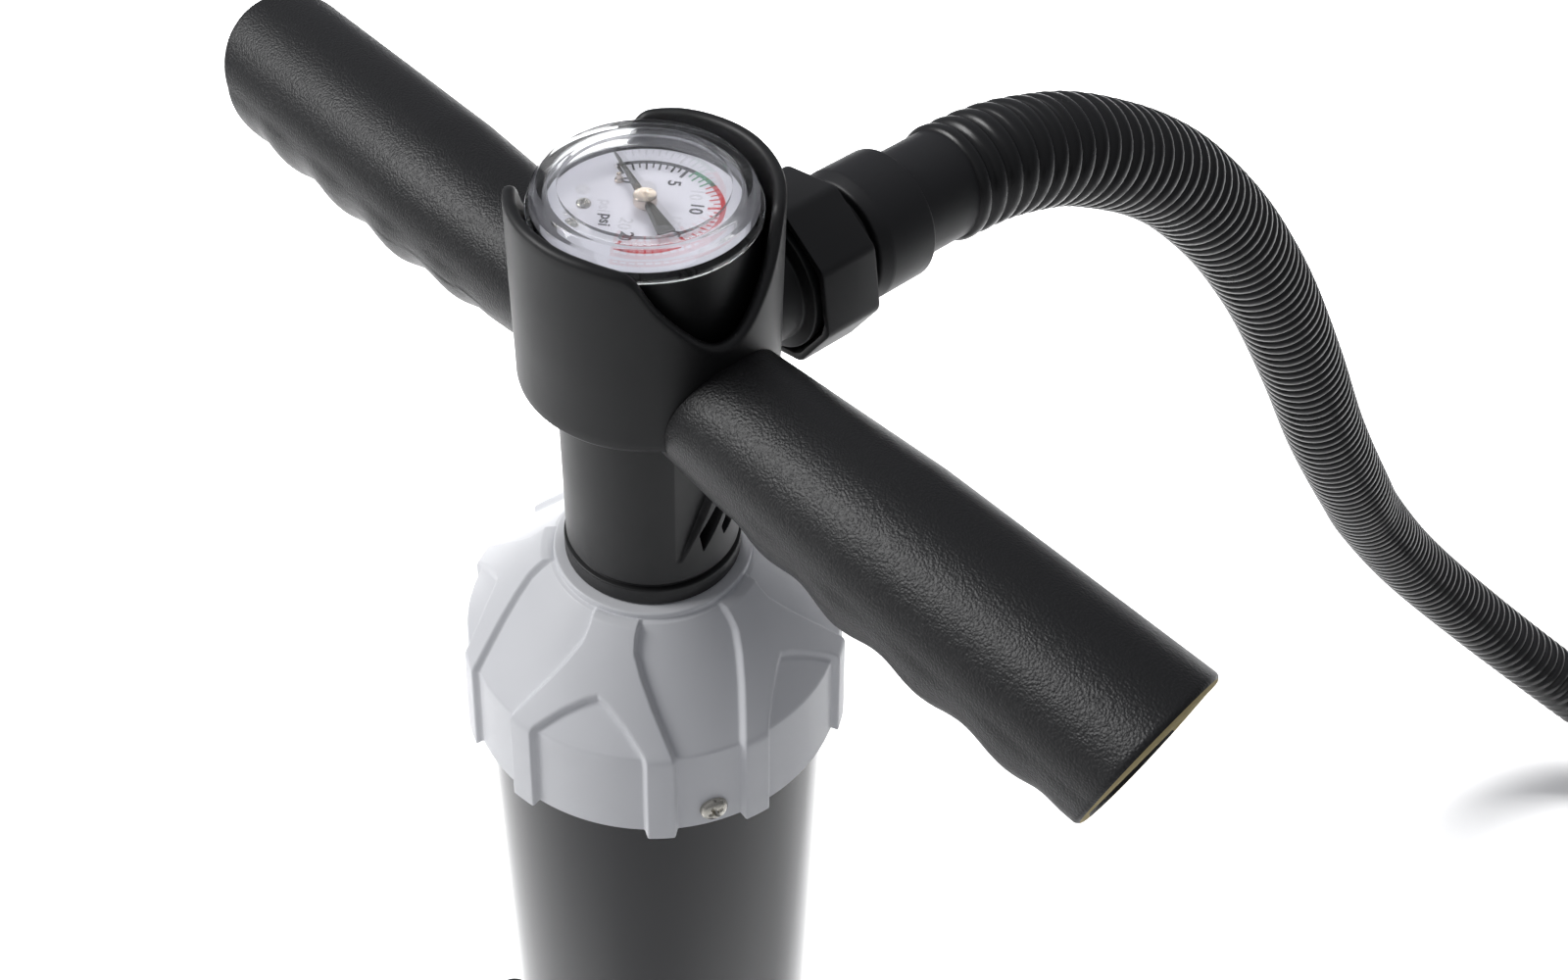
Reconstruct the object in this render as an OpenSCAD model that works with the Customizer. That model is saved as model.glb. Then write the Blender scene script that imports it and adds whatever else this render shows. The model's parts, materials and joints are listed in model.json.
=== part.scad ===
// Two-handed high-pressure hand pump with gauge, hose and fold-up foot plates.
// Origin: middle of the base's underside, on the pump's axis. +Z is up, the handle lies
// along X and the hose leaves towards +Y. The handle is drawn pushed fully down.

/* [Barrel and base] */
// Outer diameter of the barrel tube
barrel_d = 94.5; // [80:0.5:110]
// Wall of the barrel tube
barrel_wall = 2.25; // [1.5:0.25:4]
// Length of the barrel tube
barrel_len = 460; // [380:5:560]
// Thickness of the rubber pad under the base
pad_t = 3; // [2:0.5:6]
// Thickness of the base floor
base_floor_t = 8; // [6:1:14]
// Height of the socket ring round the barrel's foot
socket_h = 36; // [30:1:60]
// Length of one foot plate, from its hinge
foot_len = 108; // [80:2:140]
// Width of one foot plate
foot_w = 100; // [84:2:120]

/* [Top cap] */
// Wall of the cap's skirt
skirt_wall = 4.1; // [3:0.1:6]
// Height of the skirt up to its shoulder
skirt_h = 28.5; // [26:0.5:40]
// Height of the cap from rim to neck face
cap_h = 56.5; // [52:0.5:70]
// How far the raised ribs stand off the cap
rib_rise = 1.7; // [0.8:0.1:3]
// Number of Y-shaped ribs
rib_count = 5; // [3:1:6]

/* [Piston and rod] */
// Outer diameter of the piston rod
rod_d = 22; // [18:0.5:26]
// Wall of the piston rod
rod_wall = 3; // [1.5:0.5:4]
// Height of the piston
piston_h = 22; // [20:1:34]
// Radial gap between piston and barrel
piston_gap = 0.6; // [0.3:0.1:1]
// Radial clearance of the rod in its bush
rod_fit = 0.05; // [0.02:0.01:0.1]

/* [Handle] */
// Overall length of the handle over both grips
handle_len = 310; // [260:5:360]
// Diameter of a grip at its end
grip_d = 37; // [34:0.5:42]
// Diameter of the arm inside a grip
arm_d = 23; // [18:0.5:25]
// Outer diameter of the stem sleeve
stem_d = 44.8; // [42:0.2:50]
// Length of the stem sleeve
stem_len = 52; // [45:1:70]
// Outer diameter of the head shroud
head_d = 63; // [60:0.5:72]
// Wall of the head shroud
head_wall = 3; // [2:0.25:4]
// Height of the head shroud
head_h = 52; // [48:1:64]

/* [Gauge] */
// Diameter of the gauge lens over its flange
lens_d = 53.6; // [46:0.2:55]
// Diameter of the dial plate
dial_d = 45.4; // [40:0.2:46]
// Length of the pointer from its hub to its tip
pointer_len = 19; // [15:0.5:21]
// Direction of the zero mark seen from above
zero_angle = 162; // [120:1:200]

/* [Hose] */
// Outer diameter of the corrugated hose
hose_d = 32; // [26:0.5:34]
// Width of the union nut over its corners
nut_d = 46; // [44:0.5:52]
// Outer diameter of the connector's collar
collar_d = 35.6; // [34:0.2:40]

/* [Hidden] */
$fn = 96;
eps = 0.01;
seat_gap = 0.25;       // between faces of bodies that only rest on each other
slip_gap = 0.3;        // round pieces that are pushed together

// barrel and base
barrel_r = barrel_d / 2;
bore_r = barrel_r - barrel_wall;
base_top = pad_t + base_floor_t;
barrel_top = base_top + barrel_len;
plug_h = 8;
base_r = barrel_r + 12.75;
pad_r = base_r - 2;
socket_r = barrel_r + 5.75;
hinge_x = base_r + 12;
hinge_z = base_top;
hinge_r = 7;
pin_r = 2.5;
lug_w = 9;
lug_gap = 0.4;
foot_t = 9;
tread_t = 2.5;
foot_pad_t = hinge_z - hinge_r;
knuckle_w = foot_w - 22;

// screws that pin the tube in its base and its cap
screw_count = 3;
screw_r = 1.5;
screw_clear = 0.1;
screw_head_r = 3.8;
screw_head_h = 2;
screw_angle = -22.5;
cap_screw_z = 6;
base_screw_z = base_top + socket_h - 8;
// how far a head's seat is cut into the cap's skirt
seat_sink = 0.6;

// cap
cap_overlap = 21;
rim_z = barrel_top - cap_overlap;
skirt_in = barrel_r + 0.35;
skirt_out = skirt_in + skirt_wall;
shoulder_r = skirt_out - 1.1;
neck_r = 26;
cone_top_r = 27.2;
cone_top_h = cap_h - 2.3;
neck_z = rim_z + cap_h;
bush_r = rod_d / 2 + 5;
bush_drop = 40;
bush_z = neck_z - bush_drop;
wiper_h = 6;
rib_drop = 1.6;
rib_phase = -59.6;
leg_out_deg = 25.9;
leg_in_deg = 17.2;

// piston and rod
rod_r = rod_d / 2;
rod_in = rod_r - rod_wall;
piston_z = base_top + plug_h + 5;
piston_r = bore_r - piston_gap;
piston_top = piston_z + piston_h;
rod_foot = piston_z + 10;
rod_nut_h = 8;
rod_nut_r = rod_r + 6;
seal_z = piston_z + 6;
seal_h = 6;
seal_in = piston_r - 4.4;
seal_out = bore_r - 0.05;
guide_z = piston_top - 6;
guide_h = 4;
guide_in = piston_r - 2.4;
valve_pocket_r = 10;
valve_seat_h = 2;
valve_pocket_h = 5;
valve_disc_h = 1.2;
valve_disc_r = 8.6;
valve_bore_r = 5;

// stem, head and handle, from the neck up
bumper_z = neck_z + seat_gap;
bumper_h = 9.25;
bumper_r = stem_d / 2 + 0.6;
stem_r = stem_d / 2;
stem_z = bumper_z + bumper_h;
stem_spigot_r = 17.7;
stem_spigot_h = 7;
stem_wall = 2.6;
head_z = stem_z + stem_len;
head_r = head_d / 2;
head_in = head_r - head_wall;
head_top = head_z + head_h;
axis_z = head_z + 4.7;
outlet_z = axis_z + 1.6;
core_r = stem_r - 0.3;
core_h = 22;
arm_r = arm_d / 2;
arm_end = handle_len / 2 - 8;
grip_r = grip_d / 2;
grip_end = handle_len / 2;
rod_top = head_z + 8;
notch_low = head_z + 24;      // lowest point of the two openings over the grips
notch_flat = 6;
notch_half = 25;

// gauge, from the shroud's rim down
dial_z = head_top - 6;
lens_r = lens_d / 2;
lens_h = 7.4;
lens_roof = 1.8;
case_r = lens_r - 0.8;
case_h = 17;
case_z = dial_z - case_h;
dial_r = dial_d / 2;
dial_t = 0.8;
port_r = 5;
pin_angle = zero_angle + 8;
pointer_z = dial_z + 2.4;
// the pin marks zero and ends just below the pointer, whose tail passes over it
zero_pin_x = 12;
zero_pin_r = 0.6;
zero_pin_h = pointer_z - dial_z - 0.4;
pointer_t = 0.4;

// outlet and hose connector, distances along +Y
flange_y = head_r + 0.5;
flange_t = 4;
thread_y = flange_y + flange_t;
thread_r = 17;
thread_end = flange_y + 14;
nut_y = flange_y + 6;
nut_len = 17.5;
nut_r = nut_d / 2;
nut_lip = 4;
nut_phase = 11;
neck_tube_r = 14;
tail_t = 4;
collar_y = nut_y + nut_len + 7.5;
collar_len = 16;
collar_r = collar_d / 2;
tube_len = 18;
tube_r = 14.7;
hose_y = collar_y + collar_len + tube_len;
outlet_bore = 8;
spigot_r = outlet_bore + 4;
hose_r = hose_d / 2;

// the hose's route: out of the connector, over its arch and down, then round on the floor
arch_route = [[0, hose_y, outlet_z], [0, 117, 572.5], [0, 134, 568], [0, 150, 562], [0, 170, 551],
    [0, 190, 538], [0, 211, 521], [0, 239, 493], [0, 262, 466], [0, 287, 433],
    [0, 320, 384], [0, 357, 326], [0, 400, 265], [0, 430, 225]];
floor_route = [[0, 430, 225], [8, 475, 169], [32, 525, 111], [72, 568, 62], [124, 596, 30],
    [180, 605, 18], [235, 598, 16.6], [285, 573, 16.6], [322, 532, 16.6], [343, 482, 16.6],
    [350, 428, 16.8], [350, 372, 17.4], [350, 330, 18]];
// the two runs stop short of each other by this much, so that neither cuts the other
route_gap = 0.3;
route_steps = 3;
hose_sides = 12;
cuff_z = 18;
cuff_r = 18;
cuff_x = 350;
cuff_y = 330;
cuff_len = 36;
nozzle_len = 44;
nozzle_r = 9;
nozzle_bore = 6;
seal_y = cuff_y - cuff_len - 15;
ring_z = 12;
lock_r = 15;

// colours
black = "#1d1d1f";
dark = "#2a2a2d";
grey = "#a9abae";
rubber = "#161617";
steel = "#c8c8c6";
brass = "#b9964e";

// ---- small helpers ----
module ring(z, h, r_in, r_out) {
    translate([0, 0, z]) difference() {
        cylinder(h = h, r = r_out);
        translate([0, 0, -eps]) cylinder(h = h + 2 * eps, r = r_in);
    }
}

// A cylinder along +Y from y, at the outlet's height
module along_y(y, len, r, z = outlet_z, sides = 96) {
    translate([0, y, z]) rotate([-90, 0, 0]) cylinder(h = len, r = r, $fn = sides);
}

module side(sign) {
    if (sign > 0) children();
    else mirror([1, 0, 0]) children();
}

module round_slab(x0, x1, w, t, r) {
    translate([x0 + r, -w / 2, 0]) cube([x1 - x0 - 2 * r, w, t]);
    translate([x0, -w / 2 + r, 0]) cube([x1 - x0, w - 2 * r, t]);
    for (x = [x0 + r, x1 - r], y = [-w / 2 + r, w / 2 - r]) translate([x, y, 0]) cylinder(h = t, r = r);
}

// Radial screws and the holes that take them
module radial(z, r) {
    for (i = [0 : screw_count - 1])
        rotate([0, 0, screw_angle + i * 360 / screw_count]) translate([r, 0, z])
            rotate([0, 90, 0]) children();
}

module screws(z, seat_r) {
    tip_r = bore_r + 0.3;
    radial(z, tip_r) cylinder(h = seat_r - tip_r + 0.5, r = screw_r, $fn = 24);
    radial(z, seat_r) difference() {
        intersection() {
            cylinder(h = screw_head_h, r = screw_head_r, $fn = 48);
            translate([0, 0, screw_head_h - 6.4]) sphere(r = 6.4);
        }
        for (a = [0, 90]) rotate([0, 0, a]) translate([-2, -0.45, screw_head_h - 1]) cube([4, 0.9, 2]);
    }
}

// Flat seats for the screws' heads
module screw_seats(z, seat_r) {
    radial(z, seat_r) cylinder(h = 5, r = screw_head_r + 0.1, $fn = 48);
}

module screw_holes(z) {
    radial(z, bore_r - 5) cylinder(h = skirt_out - bore_r + 10, r = screw_r + screw_clear, $fn = 24);
}

// Catmull-Rom points along a route
function spline(p, n) = concat([for (i = [0 : len(p) - 2], k = [0 : n - 1])
    let (a = p[max(i - 1, 0)], b = p[i], c = p[i + 1], d = p[min(i + 2, len(p) - 1)], t = k / n)
    0.5 * (2 * b + (c - a) * t + (2 * a - 5 * b + 4 * c - d) * t * t
        + (3 * b - a - 3 * c + d) * t * t * t)], [p[len(p) - 1]]);
function unit(v) = v / norm(v);
// Direction at point i: first and last are given, the others run between their neighbours
function heading(p, i, first, last) = i == 0 ? first : i == len(p) - 1 ? last : unit(p[i + 1] - p[i - 1]);

module tube_along(route, r, first, last, side_dir) {
    path = spline(route, route_steps);
    m = hose_sides;
    points = [for (i = [0 : len(path) - 1])
        let (t = heading(path, i, first, last), u = unit(cross(side_dir, t)), v = cross(t, u))
        for (k = [0 : m - 1]) path[i] + r * (cos(k * 360 / m) * u + sin(k * 360 / m) * v)];
    walls = [for (i = [0 : len(path) - 2], k = [0 : m - 1])
        let (a = i * m + k, b = i * m + (k + 1) % m) each [[a, a + m, b], [b, a + m, b + m]]];
    ends = [[for (k = [0 : m - 1]) k], [for (k = [m - 1 : -1 : 0]) (len(path) - 1) * m + k]];
    polyhedron(points = points, faces = concat(walls, ends));
}

// ---- base ----
module base_pad() { color(rubber) cylinder(h = pad_t, r = pad_r); }

module base_plate() {
    color(dark) difference() {
        union() {
            translate([0, 0, pad_t]) cylinder(h = base_floor_t, r = base_r);
            translate([0, 0, base_top]) cylinder(h = socket_h, r = socket_r);
            for (s = [-1, 1], e = [-1, 1]) side(s) {
                y = e > 0 ? knuckle_w / 2 + lug_gap : -knuckle_w / 2 - lug_gap - lug_w;
                translate([hinge_x, y, hinge_z]) rotate([-90, 0, 0]) cylinder(h = lug_w, r = hinge_r);
                translate([30, y, hinge_z - hinge_r]) cube([hinge_x - 30, lug_w, 2 * hinge_r]);
            }
        }
        translate([0, 0, base_top + plug_h]) cylinder(h = socket_h, r = barrel_r + 0.15);
        ring(base_top, socket_h, bore_r - 0.4, barrel_r + 0.15);
        ring(base_top + 3, 3, bore_r - 2.4, bore_r);
        for (s = [-1, 1]) side(s)
            translate([hinge_x, -foot_w, hinge_z]) rotate([-90, 0, 0]) cylinder(h = 2 * foot_w, r = pin_r);
        screw_holes(base_screw_z);
    }
}

module base_seal() { color(rubber) ring(base_top + 3.2, 2.6, bore_r - 2.3, bore_r - 0.02); }

module base_screws() { color(steel) screws(base_screw_z, socket_r); }

module barrel() {
    color("#3a3b3f") difference() {
        ring(base_top, barrel_len, bore_r, barrel_r);
        screw_holes(base_screw_z);
        screw_holes(rim_z + cap_screw_z);
    }
}

module hinge_pin(s) {
    len = knuckle_w + 2 * lug_gap + 2 * lug_w;
    color(steel) side(s) translate([hinge_x, -len / 2, hinge_z]) rotate([-90, 0, 0]) {
        cylinder(h = len, r = pin_r);
        for (y = [-1.5, len]) translate([0, 0, y]) cylinder(h = 1.5, r = pin_r + 1.5);
    }
}

module foot_plate(s) {
    color(dark) side(s) difference() {
        union() {
            translate([0, 0, hinge_z - hinge_r])
                round_slab(hinge_x + 14, hinge_x + foot_len, foot_w, foot_t, 10);
            translate([hinge_x, -knuckle_w / 2, hinge_z - hinge_r]) cube([40, knuckle_w, foot_t]);
            translate([hinge_x, -knuckle_w / 2, hinge_z]) rotate([-90, 0, 0])
                cylinder(h = knuckle_w, r = hinge_r);
        }
        translate([hinge_x, -foot_w, hinge_z]) rotate([-90, 0, 0]) cylinder(h = 2 * foot_w, r = pin_r + 0.1);
        for (i = [0 : 3]) translate([hinge_x + 34 + i * 17, -30, hinge_z - hinge_r - eps])
            cube([9, 60, foot_t - 3]);
    }
}

module foot_tread(s) {
    color(rubber) side(s) translate([0, 0, hinge_z - hinge_r + foot_t]) {
        round_slab(hinge_x + 19, hinge_x + foot_len - 5, foot_w - 12, tread_t - 1, 7);
        for (i = [0 : 6]) translate([hinge_x + 26 + i * 11, -foot_w / 2 + 14, 0])
            cube([4, foot_w - 28, tread_t]);
    }
}

module foot_pad(s) {
    color(rubber) side(s) for (y = [-1, 1]) translate([0, y * (foot_w / 2 - 9), 0])
        translate([hinge_x + foot_len - 14, 0, 0]) cylinder(h = foot_pad_t, r = 7);
}

// ---- cap ----
cap_profile = [[skirt_out, 0], [shoulder_r, skirt_h], [cone_top_r, cone_top_h], [neck_r, cap_h - 1.9],
    [neck_r, cap_h - 0.4], [neck_r - 0.4, cap_h], [bush_r, cap_h], [bush_r, cap_h - bush_drop],
    [bush_r + 4, cap_h - bush_drop], [bush_r + 4, cap_h - 5.5], [skirt_in, cap_overlap + 1],
    [skirt_in, 0]];
rib_profile = [[skirt_in + 2.6, -rib_drop], [skirt_out + rib_rise, -rib_drop],
    [shoulder_r + rib_rise, skirt_h + 0.8], [cone_top_r + 1.2, cone_top_h + 1.1],
    [neck_r - 1, cap_h - 1], [neck_r - 4, cap_h - 4], [shoulder_r - 5, skirt_h],
    [skirt_in + 2.6, skirt_h - 4]];

function polar(r, a) = [r * cos(a), r * sin(a)];

// Radius at a share of the way from the neck (0) to the shoulder (1)
function rib_r(share) = neck_r + share * (shoulder_r - neck_r);

module rib_outline() {
    half = [[rib_r(-0.24), 15], [rib_r(-0.08), 14.4], [rib_r(0.14), 12.2], [rib_r(0.24), 12.4],
        [rib_r(0.41), 15.6], [rib_r(0.61), 19.6], [rib_r(0.81), 23.2],
        [rib_r(1.02), leg_out_deg], [rib_r(1.4), leg_out_deg]];
    inner = [[rib_r(1.4), leg_in_deg], [rib_r(1.02), leg_in_deg], [rib_r(0.79), 10.8],
        [rib_r(0.65), 3.6], [rib_r(0.61), 0]];
    right = [for (p = concat(half, inner)) polar(p[0], p[1])];
    left = [for (i = [len(right) - 2 : -1 : 0]) [right[i][0], -right[i][1]]];
    polygon(concat(right, left));
}

module top_cap() {
    color(grey) translate([0, 0, rim_z]) difference() {
        union() {
            rotate_extrude() polygon(cap_profile);
            intersection() {
                rotate_extrude() polygon(rib_profile);
                for (i = [0 : rib_count - 1]) rotate([0, 0, rib_phase + i * 360 / rib_count])
                    translate([0, 0, -rib_drop - 1]) linear_extrude(cap_h + 5) rib_outline();
            }
        }
        screw_holes(cap_screw_z);
        screw_seats(cap_screw_z, skirt_out - seat_sink);
    }
}

module cap_screws() { color(steel) screws(rim_z + cap_screw_z, skirt_out - seat_sink); }

module cap_seal() { color(rubber) ring(barrel_top, 0.95, bore_r + 0.2, barrel_r); }

module guide_bush() { color("#e8e6e0") ring(bush_z, bush_drop - wiper_h - 1, rod_r + rod_fit, bush_r); }

module rod_wiper() { color(rubber) ring(neck_z - wiper_h - 1, wiper_h, rod_r + rod_fit, bush_r); }

// ---- piston and rod ----
module piston_rod() { color("#b9bcc0") ring(rod_foot, rod_top - rod_foot, rod_in, rod_r); }

module piston() {
    color("#d9d9d6") difference() {
        translate([0, 0, piston_z]) cylinder(h = piston_h, r = piston_r);
        ring(seal_z, seal_h, seal_in, bore_r + 1);
        ring(guide_z, guide_h, guide_in, bore_r + 1);
        ring(piston_z + 9, piston_h, rod_nut_r + 3, seal_in - 4);
        translate([0, 0, rod_foot]) cylinder(h = piston_h, r = rod_r);
        translate([0, 0, piston_z - eps]) cylinder(h = valve_pocket_h + eps, r = valve_pocket_r);
        translate([0, 0, piston_z]) cylinder(h = piston_h, r = valve_bore_r + 1);
    }
}

module piston_seal() {
    color(rubber) translate([0, 0, seal_z]) rotate_extrude()
        polygon([[seal_in, 0.1], [seal_out, 0.1], [seal_out, 1.6], [seal_in + 2.6, 3.6],
            [seal_in + 2.6, seal_h - 0.1], [seal_in, seal_h - 0.1]]);
}

module piston_guide_ring() {
    color("#e8e6e0") ring(guide_z + 0.1, guide_h - 0.2, guide_in + 0.1, bore_r - 0.1);
}

module rod_nut() {
    color(steel) translate([0, 0, piston_top]) difference() {
        cylinder(h = rod_nut_h, r = rod_nut_r, $fn = 6);
        translate([0, 0, -1]) cylinder(h = rod_nut_h + 2, r = rod_r);
    }
}

module valve_seat() { color(brass) ring(piston_z, valve_seat_h, valve_bore_r, valve_pocket_r); }

module check_valve_disc() {
    color(rubber) translate([0, 0, piston_z + valve_seat_h + 0.02])
        cylinder(h = valve_disc_h, r = valve_disc_r);
}

// ---- stem and head ----
module bumper_ring() {
    color(rubber) translate([0, 0, bumper_z]) rotate_extrude()
        polygon([[stem_spigot_r, 0], [bumper_r - 0.8, 0], [bumper_r, 0.8], [bumper_r, bumper_h - 1.6],
            [bumper_r - 1.6, bumper_h], [stem_spigot_r, bumper_h]]);
}

module stem_sleeve() {
    flat_x = stem_r - 2.8;
    color(black) difference() {
        union() {
            translate([0, 0, stem_z]) cylinder(h = stem_len, r = stem_r);
            translate([0, 0, stem_z - stem_spigot_h]) cylinder(h = stem_spigot_h + eps, r = stem_spigot_r);
        }
        translate([0, 0, stem_z - 10]) cylinder(h = stem_len + 20, r = rod_r + 0.05);
        ring(stem_z + 5, stem_len, rod_r + 3, stem_r - 2 * stem_wall);
        translate([-stem_r, 0, axis_z]) rotate([0, 90, 0]) cylinder(h = stem_d, r = arm_r + 0.1);
        along_y(0, stem_r + 1, spigot_r + 0.1);
        for (s = [-1, 1]) side(s) {
            translate([flat_x, -12, stem_z + 7]) cube([5, 24, stem_len]);
            for (e = [-1, 1], k = [0, 1]) translate([flat_x - 6, e * (2.2 + 5 * k), stem_z + 9 + 6 * k])
                rotate([-e * 24, 0, 0]) translate([0, -1.3, 0]) cube([10, 2.6, 20 - 6 * k]);
        }
    }
}

// Opening over each grip, seen along X: a flat bottom between two S-shaped flanks
module notch_outline() {
    rise = head_top - notch_low;
    span = notch_half - notch_flat;
    flank = [for (i = [0 : 12]) [notch_flat + span * i / 12,
        notch_low + rise * (1 - cos(180 * i / 12)) / 2]];
    right = concat(flank, [[notch_half, head_top + 5]]);
    polygon(concat(right, [for (i = [len(right) - 1 : -1 : 0]) [-right[i][0], right[i][1]]]));
}

module head_shroud() {
    color(black) difference() {
        translate([0, 0, head_z]) rotate_extrude()
            polygon([[core_r + 0.1, 0], [head_r - 1.5, 0], [head_r - 0.4, 0.5], [head_r, 1.6],
                [head_r, head_h - 0.8], [head_r - 0.8, head_h], [head_in + 0.8, head_h],
                [head_in, head_h - 0.8], [head_in, 4], [core_r + 0.1, 4]]);
        rotate([90, 0, 90]) translate([0, 0, -60]) linear_extrude(120) notch_outline();
        translate([-60, 0, axis_z]) rotate([0, 90, 0]) cylinder(h = 120, r = arm_r + 0.1);
        along_y(10, 50, spigot_r + 0.1);
    }
}

module handle_core() {
    color(black) difference() {
        union() {
            translate([0, 0, head_z]) cylinder(h = core_h, r = core_r);
            translate([-arm_end, 0, axis_z]) rotate([0, 90, 0]) cylinder(h = 2 * arm_end, r = arm_r);
        }
        translate([0, 0, axis_z - arm_r - 1]) cylinder(h = rod_top - axis_z + arm_r + 1, r = rod_r + 0.02);
        translate([0, 0, head_z]) cylinder(h = core_h - 4, r = outlet_bore);
        translate([0, 0, head_z]) cylinder(h = core_h + 1, r = port_r);
        along_y(0, 40, outlet_bore);
        along_y(core_r - 8, 20, spigot_r + 0.02);
        for (s = [-1, 1]) side(s) translate([core_r + 10, 0, axis_z]) rotate([0, 90, 0])
            cylinder(h = arm_end, r = arm_r - 3);
    }
}

// Radius of a grip at distance x and angle a, where a = 0 points up: plain above, waved below
function grip_wave(x) = 0.9 * sin((x - 52) * 360 / 25) * min(1, max(0, (x - 44) / 10));
function grip_radius(x, a) = let (under = max(0, -cos(a)), out = min(1, max(0, (x - 23) / 60)))
    grip_r - 1.6 + 1.2 * out + under * (1.6 * out + grip_wave(x));

module grip(s) {
    n = 24;
    x0 = stem_r + 0.4;
    stations = concat([for (i = [0 : 27]) x0 + (grip_end - 4 - x0) * i / 27], [grip_end - 1, grip_end]);
    count = len(stations);
    inset = [for (i = [0 : count - 1]) i == count - 1 ? 3 : i == count - 2 ? 0.8 : 0];
    points = [for (i = [0 : len(stations) - 1], k = [0 : n - 1])
        let (a = k * 360 / n, r = grip_radius(stations[i], a) - inset[i])
        [stations[i], r * sin(a), axis_z + r * cos(a)]];
    walls = [for (i = [0 : len(stations) - 2], k = [0 : n - 1])
        let (a = i * n + k, b = i * n + (k + 1) % n) each [[a, b, a + n], [b, b + n, a + n]]];
    ends = [[for (k = [n - 1 : -1 : 0]) k], [for (k = [0 : n - 1]) (len(stations) - 1) * n + k]];
    color(rubber) side(s) difference() {
        polyhedron(points = points, faces = concat(walls, ends));
        translate([0, 0, head_z - 0.3]) cylinder(h = head_h, r = head_r + 0.2);
        translate([0, 0, axis_z]) rotate([0, 90, 0]) cylinder(h = arm_end + 0.3, r = arm_r + 0.05);
    }
}

// ---- gauge ----
module gauge_case() {
    color(black) translate([0, 0, case_z]) rotate_extrude()
        polygon([[port_r, 0], [case_r - 3, 0], [case_r, 3], [case_r, case_h], [dial_r, case_h],
            [dial_r, case_h - dial_t], [dial_r - 1.5, case_h - dial_t], [dial_r - 1.5, 3], [port_r, 3]]);
}

module gauge_stem() {
    color(brass) difference() {
        union() {
            translate([0, 0, head_z + core_h - 5])
                cylinder(h = case_z + 5 - head_z - core_h + 5, r = port_r);
            translate([0, 0, head_z + core_h]) cylinder(h = case_z - head_z - core_h, r = 7, $fn = 6);
        }
        translate([0, 0, head_z]) cylinder(h = case_z + 2 - head_z, r = 2);
    }
}

module bourdon_tube() {
    color(brass) translate([0, 0, case_z + 7]) difference() {
        rotate_extrude() translate([16, 0]) square([2.4, 5]);
        rotate([0, 0, 20]) translate([0, 0, -1]) cube([30, 30, 8]);
        translate([-1, 0, -1]) cube([30, 30, 8]);
    }
}

module gauge_movement() {
    color(brass) difference() {
        union() {
            translate([-6, -9, case_z + 5]) cube([12, 22, 1.4]);
            translate([-6, -9, case_z + 11]) cube([12, 22, 1.4]);
            for (y = [-7, 11]) translate([0, y, case_z + 5]) cylinder(h = 7.4, r = 1.4);
            translate([-15.98, -1.5, case_z + 6.4]) cube([10.98, 3, 4.6]);
        }
        translate([0, 0, case_z + 4]) cylinder(h = 12, r = 0.85);
    }
}

module dial_plate() {
    color("#eef1f4") difference() {
        translate([0, 0, dial_z - dial_t]) cylinder(h = dial_t, r = dial_r - 0.05);
        translate([0, 0, dial_z - 2]) cylinder(h = 4, r = 0.9);
    }
}

module dial_screws() {
    color(steel) for (p = [[-10.1, -9.5], [-5.1, -16.7]]) translate([p[0], p[1], dial_z]) intersection() {
        cylinder(h = 0.9, r = 1.7);
        translate([0, 0, -1.6]) sphere(r = 2.6);
    }
}

module zero_pin() {
    color(steel) rotate([0, 0, pin_angle]) translate([zero_pin_x, 0, dial_z])
        cylinder(h = zero_pin_h, r = zero_pin_r);
}

module gauge_lens() {
    color([0.85, 0.9, 0.95, 0.4]) translate([0, 0, dial_z]) rotate_extrude()
        polygon([[dial_r + 0.4, 0], [lens_r, 0], [lens_r, 1.6], [lens_r - 0.9, 2.4], [lens_r - 1.2, 5.4],
            [lens_r - 2.7, lens_h], [0, lens_h], [0, lens_h - lens_roof], [dial_r - 0.6, lens_h - lens_roof],
            [dial_r - 0.1, lens_h - 3]]);
}

module pointer() {
    tail = 13;
    color("#4a4a4a") rotate([0, 0, zero_angle]) translate([0, 0, pointer_z]) linear_extrude(pointer_t)
        polygon([[pointer_len, 0.15], [3, 0.9], [-2, 0.9], [-tail, 2], [-tail, -2], [-2, -0.9],
            [3, -0.9], [pointer_len, -0.15]]);
}

module pointer_hub() {
    color("#d8cfc4") difference() {
        union() {
            translate([0, 0, pointer_z - 0.9]) cylinder(h = 2.6, r = 2.7);
            translate([0, 0, case_z + 5.2]) cylinder(h = pointer_z - case_z - 6, r = 0.8, $fn = 24);
        }
        rotate([0, 0, zero_angle]) translate([-pointer_len, -0.95, pointer_z])
            cube([2 * pointer_len, 1.9, pointer_t]);
    }
}

// ---- outlet and hose ----
module outlet_spigot() {
    color(black) difference() {
        union() {
            along_y(core_r - 8, thread_y - core_r + 8, spigot_r);
            along_y(flange_y, flange_t, 19);
            along_y(thread_y - eps, thread_end - thread_y, thread_r);
        }
        along_y(0, 80, outlet_bore);
    }
}

module outlet_gasket() {
    color(rubber) difference() {
        along_y(thread_end, 1.5, neck_tube_r);
        along_y(thread_end - 1, 4, outlet_bore);
    }
}

module union_nut() {
    back = nut_y + nut_len - nut_lip;
    color(black) difference() {
        translate([0, nut_y, outlet_z]) rotate([-90, 0, 0]) rotate([0, 0, nut_phase])
            cylinder(h = nut_len, r = nut_r, $fn = 8);
        along_y(nut_y - 1, back - nut_y + 1, thread_r + slip_gap);
        along_y(nut_y, nut_len + 1, neck_tube_r + slip_gap);
    }
}

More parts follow.
